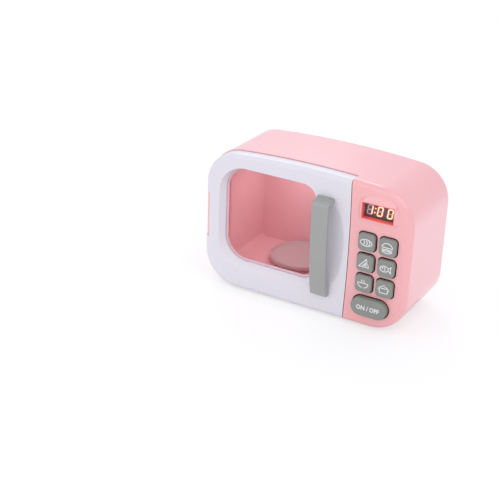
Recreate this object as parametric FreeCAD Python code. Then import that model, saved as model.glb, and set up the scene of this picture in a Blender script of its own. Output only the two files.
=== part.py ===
import FreeCAD, Part
import math
import os

# Toy microwave oven with a hinged door, sprung keys, an LED clock and a motor-driven turntable.
# Lengths are millimetres. The pieces are drawn with x to the right, y to the back from the front face
# and z up from the body's underside, and are moved to the part's own origin when they are written.

V = FreeCAD.Vector
TOUCH = 1e-6

# Body
BODY_WIDTH = 254.0
BODY_HEIGHT = 168.2
BODY_DEPTH = 104.0
CORNER_RADIUS = 41.0
CROWN_RADIUS = 1117.0
FRONT_FILLET = 6.0
REAR_FILLET = 9.0
WALL = 2.5
FOOT_HEIGHT = 2.0
FOOT_RADIUS = 8.0
FOOT_SIDE_INSET = 52.0
FOOT_END_INSET = 22.0

# Clearances
LOOSE_FIT = 0.3
RUN_FIT = 0.05
KEY_FIT = 1.3

# Screws
SCREW_RADIUS = 1.3
SCREW_HEAD_RADIUS = 2.7
SCREW_HEAD_HEIGHT = 1.8
SCREW_RECESS = 1.0
SCREW_SLOT_REACH = 1.7
SCREW_SLOT_WIDTH = 0.65
BOSS_WALL = 2.2

# Door
PANEL_WIDTH = 73.0
SEAM_GAP = 1.0
SEAM_BOW = 2.2
SEAM_RUN_OUT = 10.0
DOOR_THICKNESS = 14.0
DOOR_GAP = 0.5
DOOR_TOP_STEP = 1.2
DOOR_PANEL = 2.0
DOOR_PAD = 1.5
HINGE_RADIUS = 5.7
HINGE_CLEARANCE = 0.55
HINGE_PIN_RADIUS = 1.5
HINGE_PIN_BITE = 9.0
HINGE_LUG_BASE = 56.8
HINGE_LUG_TOP_MARGIN = 57.4
HINGE_LUG_HEIGHT = BODY_HEIGHT - HINGE_LUG_BASE - HINGE_LUG_TOP_MARGIN
HINGE_RAIL = 3.4
CATCH_LENGTH = 5.0
CATCH_HEIGHT = 10.0
CATCH_THICKNESS = 3.0
CATCH_FIT = 0.7

# Window
WINDOW_LEFT_MARGIN = 18.5
WINDOW_RIGHT_MARGIN = 40.0
WINDOW_TOP_MARGIN = 19.2
WINDOW_BASE_MARGIN = 26.3
WINDOW_LEFT_RADIUS = 33.0
WINDOW_RIGHT_RADIUS = 17.0
WINDOW_LEFT_SLOPE = 5.1
WINDOW_RIGHT_SLOPE = 1.5
WINDOW_TOP_SLOPE = 1.5
WINDOW_BASE_SLOPE = 7.4
WINDOW_DEPTH = 6.4
WINDOW_LIP = 1.8
PANE_THICKNESS = 2.0
PANE_FLANGE = 2.2
PANE_RISE = 1.6
PANE_WIDE_BEVEL = 5.2
PANE_NARROW_BEVEL = 1.6

# Handle and the finger scoop behind it
HANDLE_WIDTH = 20.5
HANDLE_RIGHT_MARGIN = 18.5
HANDLE_REACH = 14.2
HANDLE_THICKNESS = 4.0
HANDLE_TOP_MARGIN = 27.2
HANDLE_TOP = BODY_HEIGHT - HANDLE_TOP_MARGIN
HANDLE_LEDGE = 4.8
HANDLE_LEDGE_DROP = 3.4
HANDLE_BEND = 6.5
HANDLE_BASE = 24.0
HANDLE_FOOT = 12.0
HANDLE_FOOT_REACH = 5.0
HANDLE_FOOT_BEND = 1.5
HANDLE_BOW_DROP = 16.0
HANDLE_BOW_LIFT = 24.0
HANDLE_BOW_TOP = HANDLE_TOP - HANDLE_BOW_DROP
HANDLE_BOW_BASE = HANDLE_BASE + HANDLE_BOW_LIFT
HANDLE_BOW = 3.9
HANDLE_ROUND = 1.4
HANDLE_SCREW_BITE = 3.5
HANDLE_SHADOW_GAP = 0.6
HANDLE_SHADOW_DEPTH = 1.0
HANDLE_SCREW_EDGE = 3.2
SCOOP_DEPTH = 4.6
SCOOP_HALF_WIDTH = 16.0
SCOOP_SLICE = 0.85
SCOOP_EDGE = 6.0
SCOOP_DROP = 8.5
SCOOP_LIFT = 14.5
SCOOP_HALF_HEIGHT = (HANDLE_TOP - SCOOP_DROP - HANDLE_BASE - SCOOP_LIFT) / 2
SCOOP_CENTRE = HANDLE_BASE + SCOOP_LIFT + SCOOP_HALF_HEIGHT
SCOOP_RIGHT_MARGIN = 20.8

# Oven cavity
CAVITY_LEFT_MARGIN = 25.0
CAVITY_RIGHT_MARGIN = 10.0
CAVITY_TOP_MARGIN = 18.2
CAVITY_BACK_MARGIN = 11.7
CAVITY_FLOOR_GAP = 2.4
CAVITY_RADIUS = 5.0
LINER_WALL = 2.0
LINER_FLANGE = 6.0
LINER_BOSS = 8.0
LINER_EAR_REACH = 8.0
LINER_EAR_LIFT = 34.0
LINER_EAR_DROP = 26.0
LINER_SCREW = 8.0

# Display
LED_WIDTH = 37.6
LED_HEIGHT = 19.0
LED_BODY = 8.0
LED_CENTRE_OFFSET = -3.5
LED_TOP_MARGIN = 31.5
LED_CENTRE_HEIGHT = BODY_HEIGHT - LED_TOP_MARGIN
DISPLAY_WALL = 0.8
DISPLAY_SETBACK = 4.2
DISPLAY_SINK = 0.3
DISPLAY_FLANGE = 1.5
SURROUND_RISE = 2.4
SURROUND_RIM = 1.2
SURROUND_RIM_RADIUS = 1.8
SURROUND_RADIUS_SHARES = (0.15, 0.3, 0.65, 0.55)
SURROUND_LEFT = 4.4
SURROUND_RIGHT = 6.1
SURROUND_TOP = 8.0
SURROUND_BASE = 2.6
DIGIT_HEIGHT = 11.2
DIGIT_WIDTH = 6.3
DIGIT_PITCH = 11.6
DIGIT_STROKE = 1.1
DIGIT_GAP = 0.15
DIGIT_SLANT = 8.0
DIGIT_RELIEF = 0.2
COLON_SPREAD = 4.8
COLON_RADIUS = 0.65

# Keys
KEY_LEFT_MARGIN = 13.6
KEY_RIGHT_MARGIN = 15.4
KEY_TOP_MARGIN = 13.1
KEY_BASE_MARGIN = 5.95
KEY_COLUMN_GAP = 4.8
KEY_ROW_GAP = 4.4
KEY_RADIUS = 4.5
KEY_PROUD = 4.2
KEY_BEVEL = 1.4
KEY_FLANGE = 0.7
KEY_FLANGE_THICKNESS = 1.4
KEY_STEM_RADIUS = 3.0
KEY_TRAVEL = 1.5
START_LEFT_MARGIN = 11.5
START_RIGHT_MARGIN = 19.5
START_HEIGHT = 21.5
START_PROUD = 7.2
START_BEVEL = 2.0
START_CENTRE_HEIGHT = 26.0
TACT_WIDTH = 8.0
TACT_HEIGHT = 4.0
TACT_FLOOR = 0.8
TACT_PLUNGER_RADIUS = 1.6
TACT_PLUNGER_BITE = 1.0

# Control board
BOARD_THICKNESS = 1.6
BOARD_MARGIN = 3.0
BOARD_SCREW_GAP = 0.5
BOARD_SCREW = 8.0

# Rear cover
COVER_INSET = 12.5
COVER_PAD = 3.0
COVER_SCREW_INSET = 5.0
COVER_SCREW = 7.5
COVER_POST = 9.0
COVER_POST_RIB = 3.0
COVER_SIDE_LIFT = 48.0
COVER_SIDE_DROP = 50.2
COVER_TOP_INSET = 74.5
COVER_BASE_INSET = 43.0
VENT_COUNT = 9
VENT_WIDTH = 3.0
VENT_HEIGHT = 36.0
VENT_PITCH = 8.0
VENT_DROP = 50.2
VENT_CENTRE_HEIGHT = BODY_HEIGHT - VENT_DROP

# Batteries: AA cells
CELL_COUNT = 3
CELL_RADIUS = 7.25
CELL_LENGTH = 50.0
CELL_PITCH = 15.3
CELL_NUB_RADIUS = 2.7
CELL_NUB_HEIGHT = 1.2
CONTACT_THICKNESS = 0.5
CONTACT_ARCH = 3.0
CONTACT_WIDTH = 8.0
BATTERY_WALL = 1.5
BATTERY_SLACK = 0.4
BATTERY_LIFT = 2.9
BATTERY_INSET = 47.0
BATTERY_SCREW_ROOM = 9.0
BATTERY_SCREW = 7.0
GRIP_COUNT = 4
GRIP_PITCH = 6.0
GRIP_WIDTH = 1.5
GRIP_DEPTH = 0.8

# Speaker and power switch
SPEAKER_RADIUS = 11.0
SPEAKER_DEPTH = 9.0
SPEAKER_FLANGE = 1.0
SPEAKER_THROAT = 3.3
SPEAKER_MAGNET_RADIUS = 5.5
SPEAKER_MAGNET = 4.0
SPEAKER_INSET = 55.0
SPEAKER_DROP = 28.5
SPEAKER_COLLAR = 1.5
SPEAKER_COLLAR_DEPTH = 4.0
CONE_WALL = 0.6
GRILLE_HOLE_RADIUS = 1.1
GRILLE_RING_COUNT = 2
GRILLE_PITCH = 4.0
SWITCH_WIDTH = 12.0
SWITCH_HEIGHT = 6.5
SWITCH_DEPTH = 6.0
SWITCH_WALL = 1.0
SWITCH_KNOB = 4.0
SWITCH_TRAVEL = 4.0
SWITCH_RECESS = 1.3
SWITCH_INSET = 87.0
SWITCH_CENTRE_HEIGHT = 62.0

# Turntable and its drive
PLATE_MARGIN = 1.5
PLATE_THICKNESS = 2.0
PLATE_RIM = 2.6
PLATE_RIM_WIDTH = 3.0
PLATE_LIFT = 3.4
COUPLER_RADIUS = 11.0
COUPLER_THICKNESS = 1.8
COUPLER_KEY_RADIUS = 6.0
COUPLER_KEY_HEIGHT = 2.4
SPINDLE_RADIUS = 3.0
OUTPUT_INSET = 6.0
PRESSURE_ANGLE = 25.0
ADDENDUM = 0.9
DEDENDUM = 1.15
BACKLASH = 0.16
FLANK_STEPS = 4
PINION_TEETH = 10
FIRST_TEETH = 40
SECOND_TEETH = 48
OUTPUT_TEETH = 60
SMALL_TEETH = 12
GEAR_FACE = 3.0
GEAR_GAP = 0.6
AXLE_RADIUS = 1.25
GEARBOX_PLATE = 2.0
GEARBOX_BOSS = 4.5
GEARBOX_MARGIN = 3.5
GEARBOX_POST_RADIUS = 3.5
GEARBOX_POST_OFFSET = 9.0
GEARBOX_SCREW = 6.0
MOTOR_RADIUS = 10.0
MOTOR_FLAT = 15.1
MOTOR_LENGTH = 25.0
MOTOR_SHAFT_RADIUS = 1.0
MOTOR_NOSE_RADIUS = 3.0
MOTOR_SEAM_OFFSET = 8.0
MOTOR_COLLAR = 1.6
MOTOR_COLLAR_HEIGHT = 10.0
MOTOR_TERMINAL = 1.2
MOTOR_TAB = 3.6
MOTOR_TERMINAL_OFFSET = 3.5

# Leads
LEAD_RADIUS = 0.7
LEAD_BEND = 7.0
LEAD_RISE = 21.0
LEAD_SPACING = 2.4
LEAD_STRAIGHT = 8.0

# Places worked out from the sizes above
HALF_WIDTH = BODY_WIDTH / 2
SEAM_X = HALF_WIDTH - PANEL_WIDTH
PANEL_X = HALF_WIDTH - PANEL_WIDTH / 2
DOOR_RIGHT = SEAM_X - SEAM_GAP
FRONT_WALL = DOOR_THICKNESS + DOOR_GAP
FRONT_WALL_BACK = FRONT_WALL + WALL
HINGE_X = -HALF_WIDTH + HINGE_RADIUS
HINGE_Y = DOOR_THICKNESS / 2
HINGE_LUG_TOP = HINGE_LUG_BASE + HINGE_LUG_HEIGHT
GEAR_STEP = GEAR_FACE + GEAR_GAP
GEARBOX_LOW = WALL + GEARBOX_BOSS + GEARBOX_PLATE + LOOSE_FIT
GEARBOX_HIGH = GEARBOX_LOW + 2 * GEAR_STEP + GEAR_FACE + LOOSE_FIT
GEARBOX_TOP = GEARBOX_HIGH + GEARBOX_PLATE + SCREW_HEAD_HEIGHT
CAVITY_LEFT = -HALF_WIDTH + CAVITY_LEFT_MARGIN
CAVITY_RIGHT = SEAM_X - CAVITY_RIGHT_MARGIN
CAVITY_WIDTH = CAVITY_RIGHT - CAVITY_LEFT
CAVITY_FLOOR = GEARBOX_TOP + CAVITY_FLOOR_GAP + LINER_WALL
CAVITY_TOP = BODY_HEIGHT - CAVITY_TOP_MARGIN
CAVITY_BACK = BODY_DEPTH - CAVITY_BACK_MARGIN
CAVITY_DEPTH = CAVITY_BACK - FRONT_WALL_BACK
LINER_EAR_HEIGHTS = (CAVITY_FLOOR + LINER_EAR_LIFT, CAVITY_TOP - LINER_EAR_DROP)
COVER_FACE = BODY_DEPTH - WALL
COVER_SIDE_HEIGHTS = (COVER_SIDE_LIFT, BODY_HEIGHT - COVER_SIDE_DROP)
COVER_TOP_X = HALF_WIDTH - COVER_TOP_INSET
COVER_BASE_X = COVER_BASE_INSET - HALF_WIDTH
BATTERY_BASE = GEARBOX_TOP + BATTERY_LIFT + BATTERY_WALL
BATTERY_CENTRE_X = HALF_WIDTH - BATTERY_INSET
SPEAKER_X = HALF_WIDTH - SPEAKER_INSET
SPEAKER_HEIGHT = BODY_HEIGHT - SPEAKER_DROP
SWITCH_X = HALF_WIDTH - SWITCH_INSET
SCREW_HOLE = SCREW_RADIUS + RUN_FIT
BOSS_RADIUS = SCREW_RADIUS + BOSS_WALL
HEAD_HOLE = SCREW_HEAD_RADIUS + LOOSE_FIT
SCREW_SINK = SCREW_HEAD_HEIGHT + RUN_FIT
CAVITY_X = (CAVITY_LEFT + CAVITY_RIGHT) / 2
VENT_CENTRE_X = CAVITY_X
PLATE_RADIUS = min(CAVITY_DEPTH, CAVITY_WIDTH) / 2 - PLATE_MARGIN
MODULE = 2 * (PLATE_RADIUS - OUTPUT_INSET) / OUTPUT_TEETH
TRAIN_TEETH = OUTPUT_TEETH + SECOND_TEETH + FIRST_TEETH + PINION_TEETH + 2 * SMALL_TEETH
TRAIN_LENGTH = MODULE * TRAIN_TEETH / 2
# The plate is in the middle of the cavity, or further right where the motor would else meet the cavity
TURNTABLE_X = max(CAVITY_X, SEAM_X + MOTOR_SEAM_OFFSET - TRAIN_LENGTH)
TURNTABLE_Y = (FRONT_WALL_BACK + CAVITY_BACK) / 2
LED_X = PANEL_X + LED_CENTRE_OFFSET
BOARD_FRONT = DISPLAY_SETBACK + LED_BODY
KEY_WIDTH = (PANEL_WIDTH - KEY_LEFT_MARGIN - KEY_RIGHT_MARGIN - KEY_COLUMN_GAP) / 2
KEY_PITCH_X = KEY_WIDTH + KEY_COLUMN_GAP
KEY_CENTRE_OFFSET = (KEY_LEFT_MARGIN - KEY_RIGHT_MARGIN) / 2
KEY_BLOCK_BASE = START_CENTRE_HEIGHT + START_HEIGHT / 2 + KEY_BASE_MARGIN
KEY_BLOCK_TOP = LED_CENTRE_HEIGHT - LED_HEIGHT / 2 - SURROUND_BASE - KEY_TOP_MARGIN
KEY_HEIGHT = (KEY_BLOCK_TOP - KEY_BLOCK_BASE - 2 * KEY_ROW_GAP) / 3
KEY_PITCH_Z = KEY_HEIGHT + KEY_ROW_GAP
KEY_MIDDLE_HEIGHT = (KEY_BLOCK_BASE + KEY_BLOCK_TOP) / 2
START_WIDTH = PANEL_WIDTH - START_LEFT_MARGIN - START_RIGHT_MARGIN
START_CENTRE_OFFSET = (START_LEFT_MARGIN - START_RIGHT_MARGIN) / 2
BOARD_SCREW_OFFSET = (KEY_PITCH_X + KEY_WIDTH) / 2 + KEY_FIT + KEY_FLANGE + BOSS_RADIUS + BOARD_SCREW_GAP
BOARD_SCREW_HEIGHTS = (KEY_MIDDLE_HEIGHT - KEY_PITCH_Z, KEY_MIDDLE_HEIGHT + KEY_PITCH_Z)
ORIGIN_SHIFT = V(0, (HANDLE_REACH - BODY_DEPTH) / 2, FOOT_HEIGHT)


# General shapes

def block(x0, x1, y0, y1, z0, z1):
    return Part.makeBox(x1 - x0, y1 - y0, z1 - z0, V(x0, y0, z0))


def rod_y(x, z, radius, y0, y1):
    return Part.makeCylinder(radius, y1 - y0, V(x, y0, z), V(0, 1, 0))


def rod_z(x, y, radius, z0, z1):
    return Part.makeCylinder(radius, z1 - z0, V(x, y, z0), V(0, 0, 1))


def fused(*shapes):
    return shapes[0].multiFuse(list(shapes[1:])).removeSplitter()


def rounded_wire(x0, x1, z0, z1, radii, y):
    """Upright rounded rectangle; radii run lower left, lower right, upper right, upper left."""
    low_left, low_right, up_right, up_left = radii
    corners = [
        (x0, z0, 1, 1, low_left, False),
        (x1, z0, -1, 1, low_right, True),
        (x1, z1, -1, -1, up_right, False),
        (x0, z1, 1, -1, up_left, True),
    ]
    arcs = []
    for x, z, to_x, to_z, radius, along_x_first in corners:
        beside = V(x, y, z + to_z * radius)
        along = V(x + to_x * radius, y, z)
        slack = radius * (1 - math.sqrt(0.5))
        middle = V(x + to_x * slack, y, z + to_z * slack)
        ends = (along, beside) if along_x_first else (beside, along)
        arcs.append((ends[0], middle, ends[1]))
    edges = []
    for index, (start, middle, end) in enumerate(arcs):
        edges.append(Part.Arc(start, middle, end).toShape())
        following = arcs[(index + 1) % len(arcs)][0]
        if end.distanceToPoint(following) > TOUCH:
            edges.append(Part.LineSegment(end, following).toShape())
    return Part.Wire(edges)


def rounded_slab(x0, x1, z0, z1, radius, y0, y1):
    wire = rounded_wire(x0, x1, z0, z1, (radius,) * 4, y0)
    return Part.Face(wire).extrude(V(0, y1 - y0, 0))


def edges_at_depth(shape, y):
    return [edge for edge in shape.Edges if all(abs(v.Y - y) < TOUCH for v in edge.Vertexes)]


def body_face(inset, y, drop=0):
    """Front outline drawn in by inset: flat base, corner arcs and an arched top that is lowered by drop."""
    corner_x = HALF_WIDTH - CORNER_RADIUS
    span = CROWN_RADIUS - CORNER_RADIUS
    crown_z = BODY_HEIGHT - drop - CROWN_RADIUS
    upper_z = crown_z + math.sqrt(span ** 2 - corner_x ** 2)
    lean = math.asin(corner_x / span)
    radius = CORNER_RADIUS - inset
    diagonal = radius * math.sqrt(0.5)
    side_x = corner_x + radius
    half_turn = (math.pi / 2 + lean) / 2

    def mirrored(point):
        return V(-point.x, point.y, point.z)

    base = V(corner_x, y, inset)
    base_arc = V(corner_x + diagonal, y, CORNER_RADIUS - diagonal)
    side_low = V(side_x, y, CORNER_RADIUS)
    side_high = V(side_x, y, upper_z)
    top_arc = V(corner_x + radius * math.sin(half_turn), y, upper_z + radius * math.cos(half_turn))
    crown_radius = CROWN_RADIUS - inset
    top = V(crown_radius * math.sin(lean), y, crown_z + crown_radius * math.cos(lean))
    crown = V(0, y, BODY_HEIGHT - drop - inset)
    edges = [
        Part.LineSegment(mirrored(base), base),
        Part.Arc(base, base_arc, side_low),
        Part.LineSegment(side_low, side_high),
        Part.Arc(side_high, top_arc, top),
        Part.Arc(top, crown, mirrored(top)),
        Part.Arc(mirrored(top), mirrored(top_arc), mirrored(side_high)),
        Part.LineSegment(mirrored(side_high), mirrored(side_low)),
        Part.Arc(mirrored(side_low), mirrored(base_arc), mirrored(base)),
    ]
    return Part.Face(Part.Wire([edge.toShape() for edge in edges]))


def body_solid(inset, drop=0):
    """The body's outside, or the inside of a wall that is inset thick, with its top lowered by drop."""
    solid = body_face(inset, inset, drop).extrude(V(0, BODY_DEPTH - 2 * inset, 0))
    solid = solid.makeFillet(FRONT_FILLET - inset, edges_at_depth(solid, inset))
    return solid.makeFillet(REAR_FILLET - inset, edges_at_depth(solid, BODY_DEPTH - inset))


def screw(seat, axis, length):
    """Pan-head screw with a cross recess: seat lies under the head and axis points along the shank."""
    head = Part.makeCylinder(SCREW_HEAD_RADIUS, SCREW_HEAD_HEIGHT, V(0, 0, -SCREW_HEAD_HEIGHT))
    shank = Part.makeCylinder(SCREW_RADIUS, length)
    arm = SCREW_SLOT_REACH
    slot = SCREW_SLOT_WIDTH / 2
    floor = SCREW_RECESS - SCREW_HEAD_HEIGHT
    cross = block(-arm, arm, -slot, slot, -SCREW_HEAD_HEIGHT, floor)
    cross = cross.fuse(block(-slot, slot, -arm, arm, -SCREW_HEAD_HEIGHT, floor))
    shape = fused(head, shank).cut(cross)
    shape.Placement = FreeCAD.Placement(seat, FreeCAD.Rotation(V(0, 0, 1), axis))
    return shape


def lead(points):
    """Insulated wire through the points: straight runs joined by tangent arcs."""
    edges = []
    start = points[0]
    for before, corner, after in zip(points, points[1:], points[2:]):
        inward = (before - corner).normalize()
        outward = (after - corner).normalize()
        half = inward.getAngle(outward) / 2
        reach = LEAD_BEND / math.tan(half)
        first = corner + inward * reach
        last = corner + outward * reach
        centre = corner + (inward + outward).normalize() * (LEAD_BEND / math.sin(half))
        middle = centre + (corner - centre).normalize() * LEAD_BEND
        edges.append(Part.LineSegment(start, first).toShape())
        edges.append(Part.Arc(first, middle, last).toShape())
        start = last
    edges.append(Part.LineSegment(start, points[-1]).toShape())
    path = Part.Wire(edges)
    ring = Part.Wire(Part.makeCircle(LEAD_RADIUS, points[0], points[1] - points[0]))
    return path.makePipeShell([ring], True, False)


# Places that several pieces share

def key_places():
    """Name, centre x and centre z of each square key."""
    places = []
    for row, row_name in enumerate(("top", "middle", "lower")):
        for column, side in enumerate(("left", "right")):
            x = PANEL_X + KEY_CENTRE_OFFSET + (column - 0.5) * KEY_PITCH_X
            z = KEY_MIDDLE_HEIGHT + (1 - row) * KEY_PITCH_Z
            places.append((f"key_{row_name}_{side}", x, z))
    return places


def start_place():
    return PANEL_X + START_CENTRE_OFFSET, START_CENTRE_HEIGHT


def board_screw_places():
    middle = PANEL_X + KEY_CENTRE_OFFSET
    return [(middle + side * BOARD_SCREW_OFFSET, z) for side in (-1, 1) for z in BOARD_SCREW_HEIGHTS]


def liner_screw_places():
    reach = LINER_WALL + LINER_EAR_REACH
    return [(x, z) for x in (CAVITY_LEFT - reach, CAVITY_RIGHT + reach) for z in LINER_EAR_HEIGHTS]


def crown_height(x):
    return BODY_HEIGHT - CROWN_RADIUS + math.sqrt(CROWN_RADIUS ** 2 - x ** 2)


def cover_posts():
    """Each rear cover screw's x and z, and the x and z in the nearest wall where its rib ends."""
    inset = COVER_INSET + COVER_SCREW_INSET
    side = HALF_WIDTH - inset
    middle = WALL / 2
    posts = []
    for z in COVER_SIDE_HEIGHTS:
        posts.append((-side, z, middle - HALF_WIDTH, z))
        posts.append((side, z, HALF_WIDTH - middle, z))
    crown = crown_height(COVER_TOP_X)
    posts.append((COVER_TOP_X, crown - inset, COVER_TOP_X, crown - middle))
    posts.append((COVER_BASE_X, inset, COVER_BASE_X, middle))
    return posts


def cover_screw_places():
    return [(x, z) for x, z, _, _ in cover_posts()]


def left_of_seam(shift, y0, y1):
    """Everything left of the seam moved by shift; the seam bows to the right and runs past base and top."""
    far = BODY_WIDTH
    x = SEAM_X + shift
    low = V(x, y0, -SEAM_RUN_OUT)
    high = V(x, y0, BODY_HEIGHT + SEAM_RUN_OUT)
    outline = [high, V(x, y0, far), V(-far, y0, far), V(-far, y0, -far), V(x, y0, -far), low]
    edges = [Part.Arc(low, V(x + SEAM_BOW, y0, BODY_HEIGHT / 2), high).toShape()]
    for start, end in zip(outline, outline[1:]):
        edges.append(Part.LineSegment(start, end).toShape())
    return Part.Face(Part.Wire(edges)).extrude(V(0, y1 - y0, 0))


def window_box(slope_share):
    """Left, right, base and top of the window dish: share 0 at the front face, 1 at its floor."""
    left = -HALF_WIDTH + WINDOW_LEFT_MARGIN + slope_share * WINDOW_LEFT_SLOPE
    right = SEAM_X - WINDOW_RIGHT_MARGIN - slope_share * WINDOW_RIGHT_SLOPE
    base = WINDOW_BASE_MARGIN + slope_share * WINDOW_BASE_SLOPE
    top = BODY_HEIGHT - WINDOW_TOP_MARGIN - slope_share * WINDOW_TOP_SLOPE
    return left, right, base, top


def window_wire(slope_share, grow, y):
    """Outline of the window dish, drawn out by grow."""
    left, right, base, top = window_box(slope_share)
    left_radius = WINDOW_LEFT_RADIUS - slope_share * WINDOW_LEFT_SLOPE + grow
    right_radius = WINDOW_RIGHT_RADIUS - slope_share * WINDOW_RIGHT_SLOPE + grow
    radii = (left_radius, right_radius, right_radius, left_radius)
    return rounded_wire(left - grow, right + grow, base - grow, top + grow, radii, y)


def window_prism(grow, y0, y1):
    return Part.Face(window_wire(1, grow, y0)).extrude(V(0, y1 - y0, 0))


def catch_tool(grow):
    """The catch tongue, or with grow the slot that it enters."""
    x = CAVITY_RIGHT + LINER_WALL + LOOSE_FIT + CATCH_FIT + CATCH_THICKNESS / 2
    z = HINGE_LUG_BASE + HINGE_LUG_HEIGHT / 2
    half = CATCH_THICKNESS / 2 + grow
    rise = CATCH_HEIGHT / 2 + grow
    start = DOOR_THICKNESS - DOOR_PANEL
    return block(x - half, x + half, start, DOOR_THICKNESS + CATCH_LENGTH + grow, z - rise, z + rise)


# Housing

def display_surround():
    """Raised pad round the display: a sloped rim, wider above the display than beside it."""
    half_w = LED_WIDTH / 2
    half_h = LED_HEIGHT / 2
    left, right = LED_X - half_w, LED_X + half_w
    base, top = LED_CENTRE_HEIGHT - half_h, LED_CENTRE_HEIGHT + half_h
    foot_height = SURROUND_BASE + SURROUND_TOP + 2 * half_h
    foot = rounded_wire(left - SURROUND_LEFT, right + SURROUND_RIGHT, base - SURROUND_BASE,
                        top + SURROUND_TOP, [share * foot_height for share in SURROUND_RADIUS_SHARES], 0)
    rim = rounded_wire(left - SURROUND_RIM, right + SURROUND_RIM, base - SURROUND_RIM,
                       top + SURROUND_RIM, (SURROUND_RIM_RADIUS,) * 4, -SURROUND_RISE)
    return Part.makeLoft([foot, rim], True, True)


def display_prism(grow, y0, y1):
    """Upright block of the display opening, drawn out by grow."""
    half_w = LED_WIDTH / 2 + grow
    half_h = LED_HEIGHT / 2 + grow
    return block(LED_X - half_w, LED_X + half_w, y0, y1, LED_CENTRE_HEIGHT - half_h,
                 LED_CENTRE_HEIGHT + half_h)


def hinge_lug():
    lug = rod_z(HINGE_X, HINGE_Y, HINGE_RADIUS, HINGE_LUG_BASE + HINGE_CLEARANCE,
                HINGE_LUG_TOP - HINGE_CLEARANCE)
    neck = block(HINGE_X - HINGE_RADIUS, HINGE_X + HINGE_RADIUS, HINGE_Y, FRONT_WALL + WALL / 2,
                 HINGE_LUG_BASE + HINGE_CLEARANCE, HINGE_LUG_TOP - HINGE_CLEARANCE)
    return fused(lug, neck).common(body_solid(0))


def ribbed_posts():
    """Screw posts for the rear cover, each on a rib from the nearest wall."""
    tip = COVER_FACE - COVER_PAD
    start = tip - COVER_POST
    shapes = []
    for x, z, wall_x, wall_z in cover_posts():
        thick_x = COVER_POST_RIB / 2 if wall_x == x else 0
        thick_z = COVER_POST_RIB / 2 - thick_x
        shapes.append(rod_y(x, z, BOSS_RADIUS, start, tip))
        shapes.append(block(min(x, wall_x) - thick_x, max(x, wall_x) + thick_x, start, tip,
                            min(z, wall_z) - thick_z, max(z, wall_z) + thick_z))
    return shapes


def gearbox_boss_places():
    """Corner screws of the gearbox base, on the housing floor."""
    x0, x1, y0, y1 = gearbox_plan()
    inset = BOSS_RADIUS + LOOSE_FIT
    return [(x, y) for x in (x0 + inset, x1 - inset) for y in (y0 + inset, y1 - inset)]


def main_housing():
    outside = body_solid(0)
    far = BODY_WIDTH
    door_room = left_of_seam(0, -far, FRONT_WALL)
    front_step = left_of_seam(WALL, -far, FRONT_WALL_BACK)
    hollow = body_solid(WALL).cut(front_step)
    shell = outside.cut(door_room).cut(hollow)
    opening = body_face(COVER_INSET - LOOSE_FIT, COVER_FACE - WALL).extrude(V(0, far, 0))
    shell = shell.cut(opening)
    additions = [hinge_lug(), display_surround()] + ribbed_posts()
    within_wall = body_solid(WALL / 2)
    for x, z in board_screw_places():
        additions.append(rod_y(x, z, BOSS_RADIUS, WALL / 2, BOARD_FRONT))
    for x, z in liner_screw_places():
        additions.append(rod_y(x, z, BOSS_RADIUS, FRONT_WALL + WALL / 2, FRONT_WALL_BACK + LINER_BOSS))
    for x, y in gearbox_boss_places():
        additions.append(rod_z(x, y, BOSS_RADIUS, 0, WALL + GEARBOX_BOSS).common(within_wall))
    body = fused(shell, *additions)
    cuts = [
        display_prism(0, -BODY_DEPTH, WALL),
        catch_tool(CATCH_FIT),
        cavity_block(0, 0, FRONT_WALL_BACK),
    ]
    for _, x, z in key_places():
        cuts.append(key_prism(x, z, KEY_FIT, -WALL, 2 * WALL))
    cuts.append(start_prism(KEY_FIT, -WALL, 2 * WALL))
    for x, z in board_screw_places():
        cuts.append(rod_y(x, z, SCREW_HOLE, BOARD_FRONT - BOARD_SCREW, BOARD_FRONT))
    for x, z in liner_screw_places():
        tip = FRONT_WALL_BACK + LINER_BOSS
        cuts.append(rod_y(x, z, SCREW_HOLE, tip - LINER_SCREW, tip))
    for x, z in cover_screw_places():
        tip = COVER_FACE - COVER_PAD
        cuts.append(rod_y(x, z, SCREW_HOLE, tip - COVER_SCREW, tip))
    for x, y in gearbox_boss_places():
        seat = WALL + GEARBOX_BOSS + GEARBOX_PLATE
        cuts.append(rod_z(x, y, SCREW_HOLE, seat - GEARBOX_SCREW, seat))
    for z0, z1 in hinge_pin_spans():
        cuts.append(rod_z(HINGE_X, HINGE_Y, HINGE_PIN_RADIUS + RUN_FIT / 2, z0, z1))
    return body.cut(cuts)


def feet():
    names = {}
    x = HALF_WIDTH - FOOT_SIDE_INSET
    for row, y in (("front", FOOT_END_INSET), ("rear", BODY_DEPTH - FOOT_END_INSET)):
        for side, sign in (("left", -1), ("right", 1)):
            foot = rod_z(sign * x, y, FOOT_RADIUS, -FOOT_HEIGHT, 0)
            sole = [edge for edge in foot.Edges if abs(edge.CenterOfMass.z + FOOT_HEIGHT) < TOUCH]
            names[f"foot_{row}_{side}"] = foot.makeChamfer(FOOT_HEIGHT / 3, sole)
    return names


# Oven cavity

def cavity_block(grow, y0, y1):
    """Upright block of the cavity's outline, drawn out by grow."""
    return rounded_slab(CAVITY_LEFT - grow, CAVITY_RIGHT + grow, CAVITY_FLOOR - grow, CAVITY_TOP + grow,
                        CAVITY_RADIUS + grow, y0, y1)


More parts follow.
